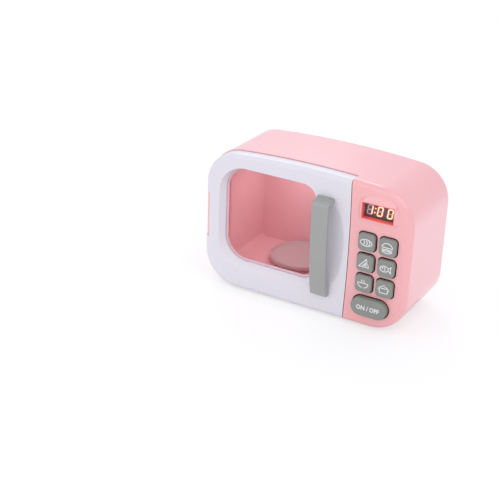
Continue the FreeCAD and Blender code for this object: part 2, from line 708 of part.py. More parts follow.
def cavity_liner():
    front = FRONT_WALL_BACK
    inside = cavity_block(0, front, CAVITY_BACK)
    outside = cavity_block(LINER_WALL, front, CAVITY_BACK + LINER_WALL)
    flange = cavity_block(LINER_FLANGE, front, front + LINER_WALL)
    ears = []
    ear_front = front + LINER_BOSS
    for x, z in liner_screw_places():
        toward = CAVITY_LEFT - LINER_WALL / 2 if x < TURNTABLE_X else CAVITY_RIGHT + LINER_WALL / 2
        ears.append(rod_y(x, z, BOSS_RADIUS, ear_front, ear_front + LINER_WALL))
        ears.append(block(min(x, toward), max(x, toward), ear_front, ear_front + LINER_WALL,
                          z - BOSS_RADIUS, z + BOSS_RADIUS))
    shell = fused(outside, flange, *ears).cut(inside)
    flange_clear = [catch_tool(CATCH_FIT)]
    for x, z in liner_screw_places():
        flange_clear.append(rod_y(x, z, BOSS_RADIUS + LOOSE_FIT, front, ear_front))
        flange_clear.append(rod_y(x, z, SCREW_HOLE, ear_front, ear_front + LINER_WALL))
    hole = rod_z(TURNTABLE_X, TURNTABLE_Y, SPINDLE_RADIUS + RUN_FIT, 0, CAVITY_FLOOR)
    return shell.cut(flange_clear + [hole])


def liner_screws():
    seat = FRONT_WALL_BACK + LINER_BOSS + LINER_WALL
    return [screw(V(x, seat, z), V(0, -1, 0), LINER_SCREW) for x, z in liner_screw_places()]


# Door

def hinge_pin_spans():
    """Height range of the lower and the upper hinge pin: half in the lug and half in the door."""
    low = HINGE_LUG_BASE
    high = HINGE_LUG_TOP
    return [(low - HINGE_PIN_BITE, low + HINGE_PIN_BITE), (high - HINGE_PIN_BITE, high + HINGE_PIN_BITE)]


def door_outline(inset, y0, y1):
    """Slab of the door's outline, drawn in by inset from the body's outline and the seam."""
    slab = body_face(inset, y0, DOOR_TOP_STEP).extrude(V(0, y1 - y0, 0))
    return slab.common(left_of_seam(-SEAM_GAP - inset, y0 - TOUCH, y1 + TOUCH))


def scoop():
    """Ellipsoid in front of the door that cuts the finger scoop, sliced at SCOOP_SLICE of its radius."""
    spread = math.sqrt(1 - SCOOP_SLICE ** 2)
    radius_y = SCOOP_DEPTH / (1 - SCOOP_SLICE)
    stretch = FreeCAD.Matrix()
    stretch.scale(SCOOP_HALF_WIDTH / spread, radius_y, SCOOP_HALF_HEIGHT / spread)
    ball = Part.makeSphere(1).transformGeometry(stretch)
    ball.translate(V(SEAM_X - SCOOP_RIGHT_MARGIN, SCOOP_DEPTH - radius_y, SCOOP_CENTRE))
    return ball


def scooped(slab):
    """The door's slab with the finger scoop cut into its face and the scoop's edge rounded."""
    slab = slab.cut(scoop())
    rim = [edge for edge in edges_at_depth(slab, 0) if edge.Closed]
    return slab.makeFillet(SCOOP_EDGE, rim)


def scoop_backing():
    x = SEAM_X - SCOOP_RIGHT_MARGIN
    low = SCOOP_CENTRE - SCOOP_HALF_HEIGHT
    high = SCOOP_CENTRE + SCOOP_HALF_HEIGHT
    return block(x - SCOOP_HALF_WIDTH, x + SCOOP_HALF_WIDTH, 0, SCOOP_DEPTH + WALL, low, high)


def door_screw_places():
    """Screws of the door's inner panel: above, below and beside the window."""
    left, right, base, top = window_box(0)
    low = base / 2
    high = (top + BODY_HEIGHT) / 2 - WALL
    beside = DOOR_RIGHT - WALL - BOSS_RADIUS - SEAM_GAP
    third = (right - left) / 3
    upper = [(left + third, high), (right, high)]
    lower = [(left + third, low), (right, low)]
    edge = [(beside, base + BOSS_RADIUS), (beside, top - BOSS_RADIUS)]
    return upper + lower + edge


def hinge_clearance():
    """Room in the door for the housing's hinge lug, and for the door's rear edge to swing."""
    reach = HINGE_RADIUS + HINGE_CLEARANCE
    far = BODY_WIDTH
    notch = rod_z(HINGE_X, HINGE_Y, reach, HINGE_LUG_BASE, HINGE_LUG_TOP)
    neck = block(-far, HINGE_X + reach, HINGE_Y, far, HINGE_LUG_BASE, HINGE_LUG_TOP)
    outer = block(-far, HINGE_X, -far, HINGE_Y, HINGE_LUG_BASE, HINGE_LUG_TOP)
    swing = FRONT_WALL - HINGE_Y - HINGE_CLEARANCE
    corner = block(-far, HINGE_X, HINGE_Y, far, 0, BODY_HEIGHT)
    corner = corner.cut(rod_z(HINGE_X, HINGE_Y, swing, 0, BODY_HEIGHT))
    return [notch, neck, outer, corner]


def door_frame():
    far = BODY_WIDTH
    slab = scooped(body_solid(0, DOOR_TOP_STEP).common(left_of_seam(-SEAM_GAP, -far, DOOR_THICKNESS)))
    rail = HINGE_X + HINGE_RADIUS + HINGE_RAIL
    hollow = body_solid(WALL, DOOR_TOP_STEP).common(left_of_seam(-SEAM_GAP - WALL, -far, DOOR_THICKNESS))
    hollow = hollow.common(block(rail, far, -far, far, -far, far))
    collar_back = WINDOW_DEPTH + WINDOW_LIP
    collar = Part.makeLoft([window_wire(0, WALL, 0), window_wire(1, WALL, WINDOW_DEPTH)], True, True)
    lip = window_prism(WALL, WINDOW_DEPTH, collar_back)
    bosses = []
    boss_tip = DOOR_THICKNESS - DOOR_PANEL - DOOR_PAD
    for x, z in door_screw_places():
        bosses.append(rod_y(x, z, BOSS_RADIUS, 0, boss_tip))
    hollow = hollow.cut([collar, lip, scoop_backing()] + bosses)
    dish = Part.makeLoft([window_wire(0, 0, 0), window_wire(1, 0, WINDOW_DEPTH)], True, True)
    cuts = [dish, window_prism(0, WINDOW_DEPTH, collar_back)] + hinge_clearance()
    for x, z in door_screw_places():
        cuts.append(rod_y(x, z, SCREW_HOLE, WALL, boss_tip))
    for x, z in handle_screw_places():
        cuts.append(rod_y(x, z, SCREW_HOLE, 0, WALL))
    for z0, z1 in hinge_pin_spans():
        cuts.append(rod_z(HINGE_X, HINGE_Y, HINGE_PIN_RADIUS + RUN_FIT, z0, z1))
    return slab.cut(hollow).cut(cuts)


def door_inner_panel():
    """Flat inner skin of the door: it clamps the pane and carries the catch tongue."""
    front = DOOR_THICKNESS - DOOR_PANEL
    rail = HINGE_X + HINGE_RADIUS + HINGE_RAIL + LOOSE_FIT
    skin = door_outline(WALL + LOOSE_FIT, front, DOOR_THICKNESS)
    skin = skin.common(block(rail, BODY_WIDTH, 0, BODY_DEPTH, 0, BODY_HEIGHT))
    pane_back = WINDOW_DEPTH + WINDOW_LIP + PANE_THICKNESS
    collar = window_prism(WALL, pane_back, front)
    pads = [rod_y(x, z, BOSS_RADIUS, front - DOOR_PAD, front) for x, z in door_screw_places()]
    panel = fused(skin, collar, catch_tool(0), *pads)
    holes = [window_prism(0, pane_back, DOOR_THICKNESS)]
    for x, z in door_screw_places():
        holes.append(rod_y(x, z, SCREW_HOLE, 0, DOOR_THICKNESS))
        holes.append(rod_y(x, z, HEAD_HOLE, DOOR_THICKNESS - SCREW_SINK, DOOR_THICKNESS))
    return panel.cut(holes)


def door_screws():
    seat = DOOR_THICKNESS - SCREW_SINK
    length = seat - WALL - LOOSE_FIT
    return [screw(V(x, seat, z), V(0, -1, 0), length) for x, z in door_screw_places()]


def pane_wire(y):
    """Outline of the pane's raised face, further in at the left and the base than at the other two sides."""
    left, right, base, top = window_box(1)
    left_radius = WINDOW_LEFT_RADIUS - WINDOW_LEFT_SLOPE - PANE_WIDE_BEVEL
    right_radius = WINDOW_RIGHT_RADIUS - WINDOW_RIGHT_SLOPE - PANE_NARROW_BEVEL
    radii = (left_radius, right_radius, right_radius, left_radius)
    return rounded_wire(left + PANE_WIDE_BEVEL, right - PANE_NARROW_BEVEL, base + PANE_WIDE_BEVEL,
                        top - PANE_NARROW_BEVEL, radii, y)


def window_pane():
    """Tinted pane: a flange held behind the frame and a bevelled centre raised into the dish."""
    flange_front = WINDOW_DEPTH + WINDOW_LIP
    flange = window_prism(PANE_FLANGE, flange_front, flange_front + PANE_THICKNESS)
    rise = flange_front - PANE_RISE
    step = window_prism(-LOOSE_FIT, flange_front - PANE_RISE / 3, flange_front)
    bevel = Part.makeLoft([window_wire(1, -LOOSE_FIT, flange_front - PANE_RISE / 3), pane_wire(rise)],
                          True, True)
    return fused(flange, step, bevel)


def hinge_pins():
    low, high = hinge_pin_spans()
    lower = rod_z(HINGE_X, HINGE_Y, HINGE_PIN_RADIUS, *low)
    upper = rod_z(HINGE_X, HINGE_Y, HINGE_PIN_RADIUS, *high)
    return {"hinge_pin_lower": lower, "hinge_pin_upper": upper}


# Handle

def handle_left():
    return SEAM_X - HANDLE_RIGHT_MARGIN - HANDLE_WIDTH


def tangent_arc(start, direction, end):
    """Arc from start to end that leaves start along the unit direction, in the plane of x = 0."""
    chord = end - start
    side = V(0, -direction.z, direction.y)
    offset = side.dot(chord)
    radius = chord.dot(chord) / (2 * offset)
    centre = start + side * radius
    middle = (start + end) * 0.5 - centre
    middle = centre + middle.normalize() * abs(radius)
    leave = (end - centre).normalize()
    sign = 1 if radius > 0 else -1
    heading = V(0, -leave.z * sign, leave.y * sign)
    return Part.Arc(start, middle, end).toShape(), heading


def edge_through(solid, point):
    """The edge that runs along x from the point."""
    for edge in solid.Edges:
        if all(V(0, v.Y, v.Z).distanceToPoint(point) < TOUCH for v in edge.Vertexes):
            return edge


def handle_solid(inset, ledge, foot, foot_reach):
    """Solid between the door and the handle's face: top at ledge, base at foot, face drawn in by inset."""
    front = inset - HANDLE_REACH
    slope = HANDLE_LEDGE_DROP / HANDLE_REACH
    top = V(0, 0, ledge)
    corner = V(0, front, ledge + slope * front)
    bow_top = V(0, front, HANDLE_BOW_TOP)
    bow_base = V(0, front + HANDLE_BOW, HANDLE_BOW_BASE + inset)
    toe = V(0, -foot_reach, foot)
    bow_arc, heading = tangent_arc(bow_top, V(0, 0, -1), bow_base)
    foot_arc, _ = tangent_arc(bow_base, heading, toe)
    edges = [
        Part.LineSegment(top, corner).toShape(),
        Part.LineSegment(corner, bow_top).toShape(),
        bow_arc,
        foot_arc,
        Part.LineSegment(toe, V(0, 0, foot)).toShape(),
        Part.LineSegment(V(0, 0, foot), top).toShape(),
    ]
    solid = Part.Face(Part.Wire(edges)).extrude(V(HANDLE_WIDTH, 0, 0))
    solid = solid.makeFillet(HANDLE_BEND - inset, [edge_through(solid, corner)])
    return solid.makeFillet(HANDLE_FOOT_BEND, [edge_through(solid, toe)])


def handle_screw_places():
    x = handle_left() + HANDLE_WIDTH / 2
    slope = HANDLE_LEDGE_DROP / HANDLE_REACH
    upper = HANDLE_TOP - HANDLE_LEDGE / 2 - slope * HANDLE_SCREW_BITE / 2
    return [(x, upper), (x, HANDLE_BASE + HANDLE_FOOT - HANDLE_SCREW_EDGE)]


def handle_shadow_gap():
    """Thin slot round the outer edges of the handle's feet, which lifts those edges off the door."""
    left, right = handle_left(), handle_left() + HANDLE_WIDTH
    gap, depth = HANDLE_SHADOW_GAP, HANDLE_SHADOW_DEPTH
    room = block(left, right, -gap, 0, HANDLE_BASE, HANDLE_TOP)
    lower_seat = (HANDLE_BASE + depth, HANDLE_BASE + HANDLE_FOOT)
    upper_seat = (HANDLE_TOP - HANDLE_LEDGE, HANDLE_TOP - depth)
    seats = [block(left + depth, right - depth, -gap, 0, *seat) for seat in (lower_seat, upper_seat)]
    return room.cut(seats)


def door_handle():
    outer = handle_solid(0, HANDLE_TOP, HANDLE_BASE, HANDLE_FOOT_REACH)
    inner = handle_solid(HANDLE_THICKNESS, HANDLE_TOP - HANDLE_LEDGE, HANDLE_BASE + HANDLE_FOOT,
                         HANDLE_FOOT_BEND)
    strap = outer.cut(inner)
    side_edges = [edge for edge in strap.Edges if edge.BoundBox.XLength < TOUCH]
    rim = [edge for edge in side_edges if edge.BoundBox.YMin < -HANDLE_ROUND]
    strap = strap.makeFillet(HANDLE_ROUND, rim)
    strap.translate(V(handle_left(), 0, 0))
    holes = [rod_y(x, z, SCREW_HOLE, -HANDLE_SCREW_BITE, 0) for x, z in handle_screw_places()]
    return strap.cut(holes + [handle_shadow_gap()])


def handle_screws():
    length = WALL + HANDLE_SCREW_BITE - LOOSE_FIT
    return [screw(V(x, WALL, z), V(0, -1, 0), length) for x, z in handle_screw_places()]


# Keys and display

def key_prism(x, z, grow, y0, y1):
    half_w = KEY_WIDTH / 2 + grow
    half_h = KEY_HEIGHT / 2 + grow
    return rounded_slab(x - half_w, x + half_w, z - half_h, z + half_h, KEY_RADIUS + grow, y0, y1)


def start_prism(grow, y0, y1):
    x, z = start_place()
    half_w = START_WIDTH / 2 + grow
    half_h = START_HEIGHT / 2 + grow
    radius = half_h - RUN_FIT
    return rounded_slab(x - half_w, x + half_w, z - half_h, z + half_h, radius, y0, y1)


def key_body(cap, flange, x, z, proud, bevel):
    """A key: bevelled cap, flange behind the panel and stem with a plunger that enters its switch."""
    cap = cap.makeFillet(bevel, edges_at_depth(cap, -proud))
    switch_front = BOARD_FRONT - TACT_HEIGHT
    stem = rod_y(x, z, KEY_STEM_RADIUS, WALL, switch_front - KEY_TRAVEL - LOOSE_FIT)
    plunger = rod_y(x, z, TACT_PLUNGER_RADIUS, WALL, switch_front + TACT_PLUNGER_BITE)
    return fused(cap, flange, stem, plunger)


def square_keys():
    keys = {}
    behind = WALL + LOOSE_FIT
    for name, x, z in key_places():
        cap = key_prism(x, z, 0, -KEY_PROUD, behind + KEY_FLANGE_THICKNESS)
        flange = key_prism(x, z, KEY_FIT + KEY_FLANGE, behind, behind + KEY_FLANGE_THICKNESS)
        keys[name] = key_body(cap, flange, x, z, KEY_PROUD, KEY_BEVEL)
    return keys


def start_stop_key():
    x, z = start_place()
    behind = WALL + LOOSE_FIT
    cap = start_prism(0, -START_PROUD, behind + KEY_FLANGE_THICKNESS)
    flange = start_prism(KEY_FIT + KEY_FLANGE, behind, behind + KEY_FLANGE_THICKNESS)
    return key_body(cap, flange, x, z, START_PROUD, START_BEVEL)


def key_switches():
    """Push switches on the board, one under every key, each with a bore for the key's plunger."""
    front = BOARD_FRONT - TACT_HEIGHT
    half = TACT_WIDTH / 2
    bore = TACT_PLUNGER_RADIUS + LOOSE_FIT
    switches = []
    for x, z in [(x, z) for _, x, z in key_places()] + [start_place()]:
        body = block(x - half, x + half, front, BOARD_FRONT, z - half, z + half)
        switches.append(body.cut(rod_y(x, z, bore, front, BOARD_FRONT - TACT_FLOOR)))
    return switches


def control_board():
    left = SEAM_X + SEAM_BOW + WALL + LOOSE_FIT
    board = body_face(WALL + BOARD_MARGIN, BOARD_FRONT).extrude(V(0, BOARD_THICKNESS, 0))
    board = board.common(block(left, HALF_WIDTH, 0, BODY_DEPTH, 0, BODY_HEIGHT))
    holes = []
    for x, z in board_screw_places():
        holes.append(rod_y(x, z, SCREW_HOLE, BOARD_FRONT, BOARD_FRONT + BOARD_THICKNESS))
    return board.cut(holes)


def board_screws():
    seat = BOARD_FRONT + BOARD_THICKNESS
    return [screw(V(x, seat, z), V(0, -1, 0), BOARD_SCREW) for x, z in board_screw_places()]


def display_frame():
    """Red translucent frame that lines the display opening, held between the panel and the LED module."""
    front = DISPLAY_SINK - SURROUND_RISE
    tube = display_prism(-RUN_FIT, front, DISPLAY_SETBACK)
    flange = display_prism(DISPLAY_FLANGE, WALL, DISPLAY_SETBACK)
    flange = flange.common(body_face(FRONT_FILLET + LOOSE_FIT, 0).extrude(V(0, BOARD_FRONT, 0)))
    return fused(tube, flange).cut(display_prism(-DISPLAY_WALL, front, BOARD_FRONT))


def led_display():
    half_w = LED_WIDTH / 2
    half_h = LED_HEIGHT / 2
    return block(LED_X - half_w, LED_X + half_w, DISPLAY_SETBACK, BOARD_FRONT,
                 LED_CENTRE_HEIGHT - half_h, LED_CENTRE_HEIGHT + half_h)


def segment_bar(start, end):
    """Hexagonal bar from start to end, in the digit's own x and z, as a list of points."""
    along = (end - start).normalize() * (DIGIT_STROKE / 2)
    across = V(-along.z, 0, along.x)
    left_side = [start + along + across, end - along + across]
    right_side = [end - along - across, start + along - across]
    return [start] + left_side + [end] + right_side


def on_display(points, centre_x):
    """Solid of the given digit outline, slanted and laid on the module's face."""
    slant = math.tan(math.radians(DIGIT_SLANT))
    placed = [V(centre_x + p.x + p.z * slant, DISPLAY_SETBACK, LED_CENTRE_HEIGHT + p.z) for p in points]
    return Part.Face(Part.makePolygon(placed + placed[:1])).extrude(V(0, -DIGIT_RELIEF, 0))


def digit_bars():
    """The seven bars of a digit, each a little short of its neighbours."""
    half_w = (DIGIT_WIDTH - DIGIT_STROKE) / 2
    half_h = (DIGIT_HEIGHT - DIGIT_STROKE) / 2
    gap = DIGIT_GAP
    bars = {}
    for name, z in (("top", half_h), ("middle", 0), ("base", -half_h)):
        bars[name] = segment_bar(V(gap - half_w, 0, z), V(half_w - gap, 0, z))
    for side, x in (("left", -half_w), ("right", half_w)):
        bars[f"upper_{side}"] = segment_bar(V(x, 0, gap), V(x, 0, half_h - gap))
        bars[f"lower_{side}"] = segment_bar(V(x, 0, gap - half_h), V(x, 0, -gap))
    return bars


def led_segments():
    """The lit segments that show one o'clock, and the unlit ones."""
    one = {"upper_right", "lower_right"}
    zero = set(digit_bars()) - {"middle"}
    lit = []
    unlit = []
    for index, shown in enumerate((one, zero, zero)):
        centre_x = LED_X + (index - 1) * DIGIT_PITCH
        for name, points in digit_bars().items():
            (lit if name in shown else unlit).append(on_display(points, centre_x))
    colon_x = LED_X - DIGIT_PITCH / 2
    slant = math.tan(math.radians(DIGIT_SLANT))
    for offset in (-COLON_SPREAD / 2, COLON_SPREAD / 2):
        lit.append(rod_y(colon_x + offset * slant, LED_CENTRE_HEIGHT + offset, COLON_RADIUS,
                         DISPLAY_SETBACK - DIGIT_RELIEF, DISPLAY_SETBACK))
    return Part.makeCompound(lit), Part.makeCompound(unlit)


# Rear cover, batteries, speaker and switch

def battery_box_bounds():
    """Inside of the battery box: x, y and z ranges."""
    half = CELL_COUNT * CELL_PITCH / 2 + BATTERY_SLACK
    height = CELL_LENGTH + CELL_NUB_HEIGHT + 2 * (CONTACT_THICKNESS + CONTACT_ARCH) + BATTERY_SCREW_ROOM
    depth = 2 * CELL_RADIUS + BATTERY_SLACK
    return (BATTERY_CENTRE_X - half, BATTERY_CENTRE_X + half, COVER_FACE - depth, COVER_FACE,
            BATTERY_BASE, BATTERY_BASE + height)


def battery_screw_place():
    _, _, _, _, _, z1 = battery_box_bounds()
    return BATTERY_CENTRE_X, z1 - BATTERY_SCREW_ROOM / 2


def battery_door_prism(grow, y0, y1):
    x0, x1, _, _, z0, z1 = battery_box_bounds()
    edge = BATTERY_WALL / 2
    return rounded_slab(x0 - edge - grow, x1 + edge + grow, z0 - edge - grow, z1 + edge + grow,
                        2 * edge + grow, y0, y1)


def battery_box():
    x0, x1, y0, y1, z0, z1 = battery_box_bounds()
    wall = BATTERY_WALL
    tray = block(x0 - wall, x1 + wall, y0 - wall, y1, z0 - wall, z1 + wall).cut(block(x0, x1, y0, y1, z0, z1))
    x, z = battery_screw_place()
    shelf = block(x0, x1, y0, y1, z1 - BATTERY_SCREW_ROOM, z1 - BATTERY_SCREW_ROOM + wall)
    boss = rod_y(x, z, BOSS_RADIUS, y0, y1)
    hole = rod_y(x, z, SCREW_HOLE, y1 - BATTERY_SCREW, y1)
    return fused(tray, shelf, boss).cut(hole)


def cell_places():
    _, _, _, y1, z0, _ = battery_box_bounds()
    first = BATTERY_CENTRE_X - (CELL_COUNT - 1) * CELL_PITCH / 2
    y = y1 - BATTERY_SLACK / 2 - CELL_RADIUS
    z = z0 + CONTACT_THICKNESS + CONTACT_ARCH
    return [(first + index * CELL_PITCH, y, z) for index in range(CELL_COUNT)]


def battery_cells():
    cells = []
    for x, y, z in cell_places():
        can = rod_z(x, y, CELL_RADIUS, z, z + CELL_LENGTH)
        nub = rod_z(x, y, CELL_NUB_RADIUS, z + CELL_LENGTH, z + CELL_LENGTH + CELL_NUB_HEIGHT)
        cells.append(fused(can, nub))
    return cells


def leaf_contact(x, y, z, up):
    """Bent leaf: a plate on the end wall at height z and an arch that meets the cell."""
    half = CONTACT_WIDTH / 2
    inner = CONTACT_ARCH - CONTACT_THICKNESS
    top = z + up * CONTACT_THICKNESS
    plate = block(x - half, x + half, y - half, y + half, min(z, top), max(z, top))
    arch = Part.makeCylinder(CONTACT_ARCH, CONTACT_WIDTH, V(x, y - half, top), V(0, 1, 0))
    arch = arch.cut(Part.makeCylinder(inner, CONTACT_WIDTH, V(x, y - half, top), V(0, 1, 0)))
    far = top + up * CONTACT_ARCH
    keep = block(x - half, x + half, y - half, y + half, min(top, far), max(top, far))
    return fused(plate, arch.common(keep))


def battery_contacts():
    _, _, _, _, z0, z1 = battery_box_bounds()
    ceiling = z1 - BATTERY_SCREW_ROOM
    leaves = []
    for x, y, _ in cell_places():
        leaves.append(leaf_contact(x, y, z0, 1))
        leaves.append(leaf_contact(x, y, ceiling, -1))
    return leaves


def battery_door():
    x, z = battery_screw_place()
    door = battery_door_prism(-LOOSE_FIT, COVER_FACE, BODY_DEPTH)
    grip = []
    for row in range(GRIP_COUNT):
        height = BATTERY_BASE + CELL_LENGTH / 2 + row * GRIP_PITCH
        grip.append(block(x - CELL_PITCH, x + CELL_PITCH, BODY_DEPTH - GRIP_DEPTH, BODY_DEPTH,
                          height, height + GRIP_WIDTH))
    sink = rod_y(x, z, HEAD_HOLE, BODY_DEPTH - SCREW_SINK, BODY_DEPTH)
    hole = rod_y(x, z, SCREW_HOLE, COVER_FACE, BODY_DEPTH)
    return door.cut(grip + [sink, hole])


def battery_door_screw():
    x, z = battery_screw_place()
    seat = BODY_DEPTH - SCREW_SINK
    return screw(V(x, seat, z), V(0, -1, 0), BATTERY_SCREW - LOOSE_FIT)


def switch_slot(grow):
    """Slot in the cover for the knob over its whole travel, and the shallow recess round it."""
    half_w = (SWITCH_KNOB + SWITCH_TRAVEL) / 2 + grow
    half_h = SWITCH_KNOB / 2 + grow
    x, z = SWITCH_X, SWITCH_CENTRE_HEIGHT
    slot = block(x - half_w, x + half_w, COVER_FACE, BODY_DEPTH, z - half_h, z + half_h)
    rim = WALL
    recess = block(x - half_w - rim, x + half_w + rim, BODY_DEPTH - SWITCH_RECESS, BODY_DEPTH,
                   z - half_h - rim, z + half_h + rim)
    return fused(slot, recess)


def rear_cover():
    plate = body_face(COVER_INSET, COVER_FACE).extrude(V(0, WALL, 0))
    pads = [rod_y(x, z, BOSS_RADIUS, COVER_FACE - COVER_PAD, COVER_FACE) for x, z in cover_screw_places()]
    collar_inner = SPEAKER_RADIUS + LOOSE_FIT
    collar_front = COVER_FACE - SPEAKER_COLLAR_DEPTH
    collar = rod_y(SPEAKER_X, SPEAKER_HEIGHT, collar_inner + SPEAKER_COLLAR, collar_front, COVER_FACE)
    collar = collar.cut(rod_y(SPEAKER_X, SPEAKER_HEIGHT, collar_inner, 0, COVER_FACE))
    cuts = [battery_door_prism(0, COVER_FACE, BODY_DEPTH), switch_slot(LOOSE_FIT)]
    for x, z in cover_screw_places():
        cuts.append(rod_y(x, z, SCREW_HOLE, COVER_FACE - COVER_PAD, BODY_DEPTH))
        cuts.append(rod_y(x, z, HEAD_HOLE, BODY_DEPTH - SCREW_SINK, BODY_DEPTH))
    for index in range(VENT_COUNT):
        x = VENT_CENTRE_X + (index - (VENT_COUNT - 1) / 2) * VENT_PITCH
        half_w = VENT_WIDTH / 2
        low = VENT_CENTRE_HEIGHT - VENT_HEIGHT / 2
        high = VENT_CENTRE_HEIGHT + VENT_HEIGHT / 2
        cuts.append(rounded_slab(x - half_w, x + half_w, low, high, half_w - RUN_FIT, COVER_FACE, BODY_DEPTH))
    for ring in range(GRILLE_RING_COUNT + 1):
        radius = ring * GRILLE_PITCH
        count = max(1, 6 * ring)
        for index in range(count):
            angle = 2 * math.pi * index / count
            x = SPEAKER_X + radius * math.cos(angle)
            z = SPEAKER_HEIGHT + radius * math.sin(angle)
            cuts.append(rod_y(x, z, GRILLE_HOLE_RADIUS, COVER_FACE, BODY_DEPTH))
    return fused(plate, collar, *pads).cut(cuts)


def rear_cover_screws():
    seat = BODY_DEPTH - SCREW_SINK
    length = COVER_SCREW + seat - (COVER_FACE - COVER_PAD) - LOOSE_FIT
    return [screw(V(x, seat, z), V(0, -1, 0), length) for x, z in cover_screw_places()]


def speaker_parts():
    """Speaker basket with its magnet, and the paper cone inside it."""
    back = V(0, -1, 0)
    throat = SPEAKER_THROAT
    mouth = SPEAKER_RADIUS - 2 * SPEAKER_FLANGE
    depth = SPEAKER_DEPTH - SPEAKER_MAGNET - SPEAKER_FLANGE
    face = V(SPEAKER_X, COVER_FACE, SPEAKER_HEIGHT)
    flange = Part.makeCylinder(SPEAKER_RADIUS, SPEAKER_FLANGE, face, back)
    bowl_face = face + back * SPEAKER_FLANGE
    bowl = Part.makeCone(mouth, SPEAKER_MAGNET_RADIUS, depth, bowl_face, back)
    magnet = Part.makeCylinder(SPEAKER_MAGNET_RADIUS, SPEAKER_MAGNET, bowl_face + back * depth, back)
    room = Part.makeCone(mouth - SPEAKER_FLANGE, throat, depth, face, back)
    basket = fused(flange, bowl, magnet).cut(room)
    outer = Part.makeCone(mouth - SPEAKER_FLANGE, throat, depth, face, back)
    inner_mouth = mouth - SPEAKER_FLANGE - CONE_WALL
    inner = Part.makeCone(inner_mouth, throat - CONE_WALL, depth - CONE_WALL, face, back)
    cap = Part.makeSphere(throat, face + back * depth)
    cone = fused(outer.cut(inner), cap.common(outer))
    return basket, cone


def power_switch_body():
    x, z = SWITCH_X, SWITCH_CENTRE_HEIGHT
    half_w = SWITCH_WIDTH / 2
    half_h = SWITCH_HEIGHT / 2
    can = block(x - half_w, x + half_w, COVER_FACE - SWITCH_DEPTH, COVER_FACE, z - half_h, z + half_h)
    wall = SWITCH_WALL
    room = block(x - half_w + wall, x + half_w - wall, COVER_FACE - SWITCH_DEPTH + wall, COVER_FACE,
                 z - half_h + wall, z + half_h - wall)
    return can.cut(room)


def power_switch_knob():
    """Knob at its off end: a square stalk that reaches into the switch."""
    x = SWITCH_X - SWITCH_TRAVEL / 2
    z = SWITCH_CENTRE_HEIGHT
    half = SWITCH_KNOB / 2
    start = COVER_FACE - SWITCH_DEPTH + SWITCH_WALL + LOOSE_FIT
    stalk = block(x - half, x + half, start, BODY_DEPTH - LOOSE_FIT, z - half, z + half)
    groove = block(x - SWITCH_WALL / 4, x + SWITCH_WALL / 4, BODY_DEPTH - SWITCH_RECESS / 2, BODY_DEPTH,
                   z - half, z + half)
    return stalk.cut(groove)


# Turntable drive

def pitch_radius(teeth):
    return MODULE * teeth / 2


def gear_x():
    """Centres of pinion, first gear, second gear and output gear, in a row back to the turntable."""
    output = TURNTABLE_X
    second = output + pitch_radius(OUTPUT_TEETH) + pitch_radius(SMALL_TEETH)
    first = second + pitch_radius(SECOND_TEETH) + pitch_radius(SMALL_TEETH)
    pinion = first + pitch_radius(FIRST_TEETH) + pitch_radius(PINION_TEETH)
    return pinion, first, second, output


def gear_levels():
    """Undersides of the three gear layers: output, middle and pinion layer."""
    return GEARBOX_LOW, GEARBOX_LOW + GEAR_STEP, GEARBOX_LOW + 2 * GEAR_STEP


def gearbox_plan():
    """Plan of the gearbox plates: x and y ranges that take every gear."""
    pinion, _, _, output = gear_x()
    reach = pitch_radius(OUTPUT_TEETH) + ADDENDUM * MODULE + GEARBOX_MARGIN
    x1 = pinion + MOTOR_RADIUS + MOTOR_COLLAR + GEARBOX_MARGIN
    return output - reach, x1, TURNTABLE_Y - reach, TURNTABLE_Y + reach


def gearbox_post_places():
    """Posts between the two gearbox plates, beside the corner screws."""
    x0, x1, y0, y1 = gearbox_plan()
    inset = BOSS_RADIUS + LOOSE_FIT
    aside = inset + GEARBOX_POST_OFFSET
    return [(x, y) for x in (x0 + aside, x1 - aside) for y in (y0 + inset, y1 - inset)]


def gear_blank(x, teeth, tooth_angle, z):
    """Involute spur gear at x with one tooth centred on tooth_angle, as a solid of one face width."""
    pitch = pitch_radius(teeth)
    pressure = math.radians(PRESSURE_ANGLE)
    base = pitch * math.cos(pressure)
    tip = pitch + ADDENDUM * MODULE
    root = pitch - DEDENDUM * MODULE
    half_pitch = (math.pi * MODULE / 2 - BACKLASH / 2) / 2 / pitch
    start = max(base, root)

    def half_angle(radius):
        turn = math.acos(min(1.0, base / radius))
        return half_pitch + (math.tan(pressure) - pressure) - (math.tan(turn) - turn)

    radii = [start + (tip - start) * step / FLANK_STEPS for step in range(FLANK_STEPS + 1)]
    flank = [(root, half_angle(start))] + [(radius, half_angle(radius)) for radius in radii]
    points = []
    for tooth in range(teeth):
        centre = tooth_angle + 2 * math.pi * tooth / teeth
        rising = [(radius, centre - half) for radius, half in flank]
        falling = [(radius, centre + half) for radius, half in reversed(flank)]
        for radius, angle in rising + falling:
            points.append(V(x + radius * math.cos(angle), TURNTABLE_Y + radius * math.sin(angle), z))
    return Part.Face(Part.makePolygon(points + points[:1])).extrude(V(0, 0, GEAR_FACE))


def compound_gear(x, large_teeth, large_angle, large_z, small_angle, small_z):
    """Large and small gear in one moulding, with a bore that runs on its axle."""
    hub_radius = pitch_radius(SMALL_TEETH) - DEDENDUM * MODULE
    low = min(large_z, small_z)
    high = max(large_z, small_z) + GEAR_FACE
    gear = fused(gear_blank(x, large_teeth, large_angle, large_z),
                 gear_blank(x, SMALL_TEETH, small_angle, small_z),
                 rod_z(x, TURNTABLE_Y, hub_radius, low, high))
    return gear.cut(rod_z(x, TURNTABLE_Y, AXLE_RADIUS + RUN_FIT, 0, CAVITY_FLOOR))


def gap_angle(direction, teeth):
    """Tooth angle that puts a tooth space on the given direction."""
    return direction + math.pi / teeth


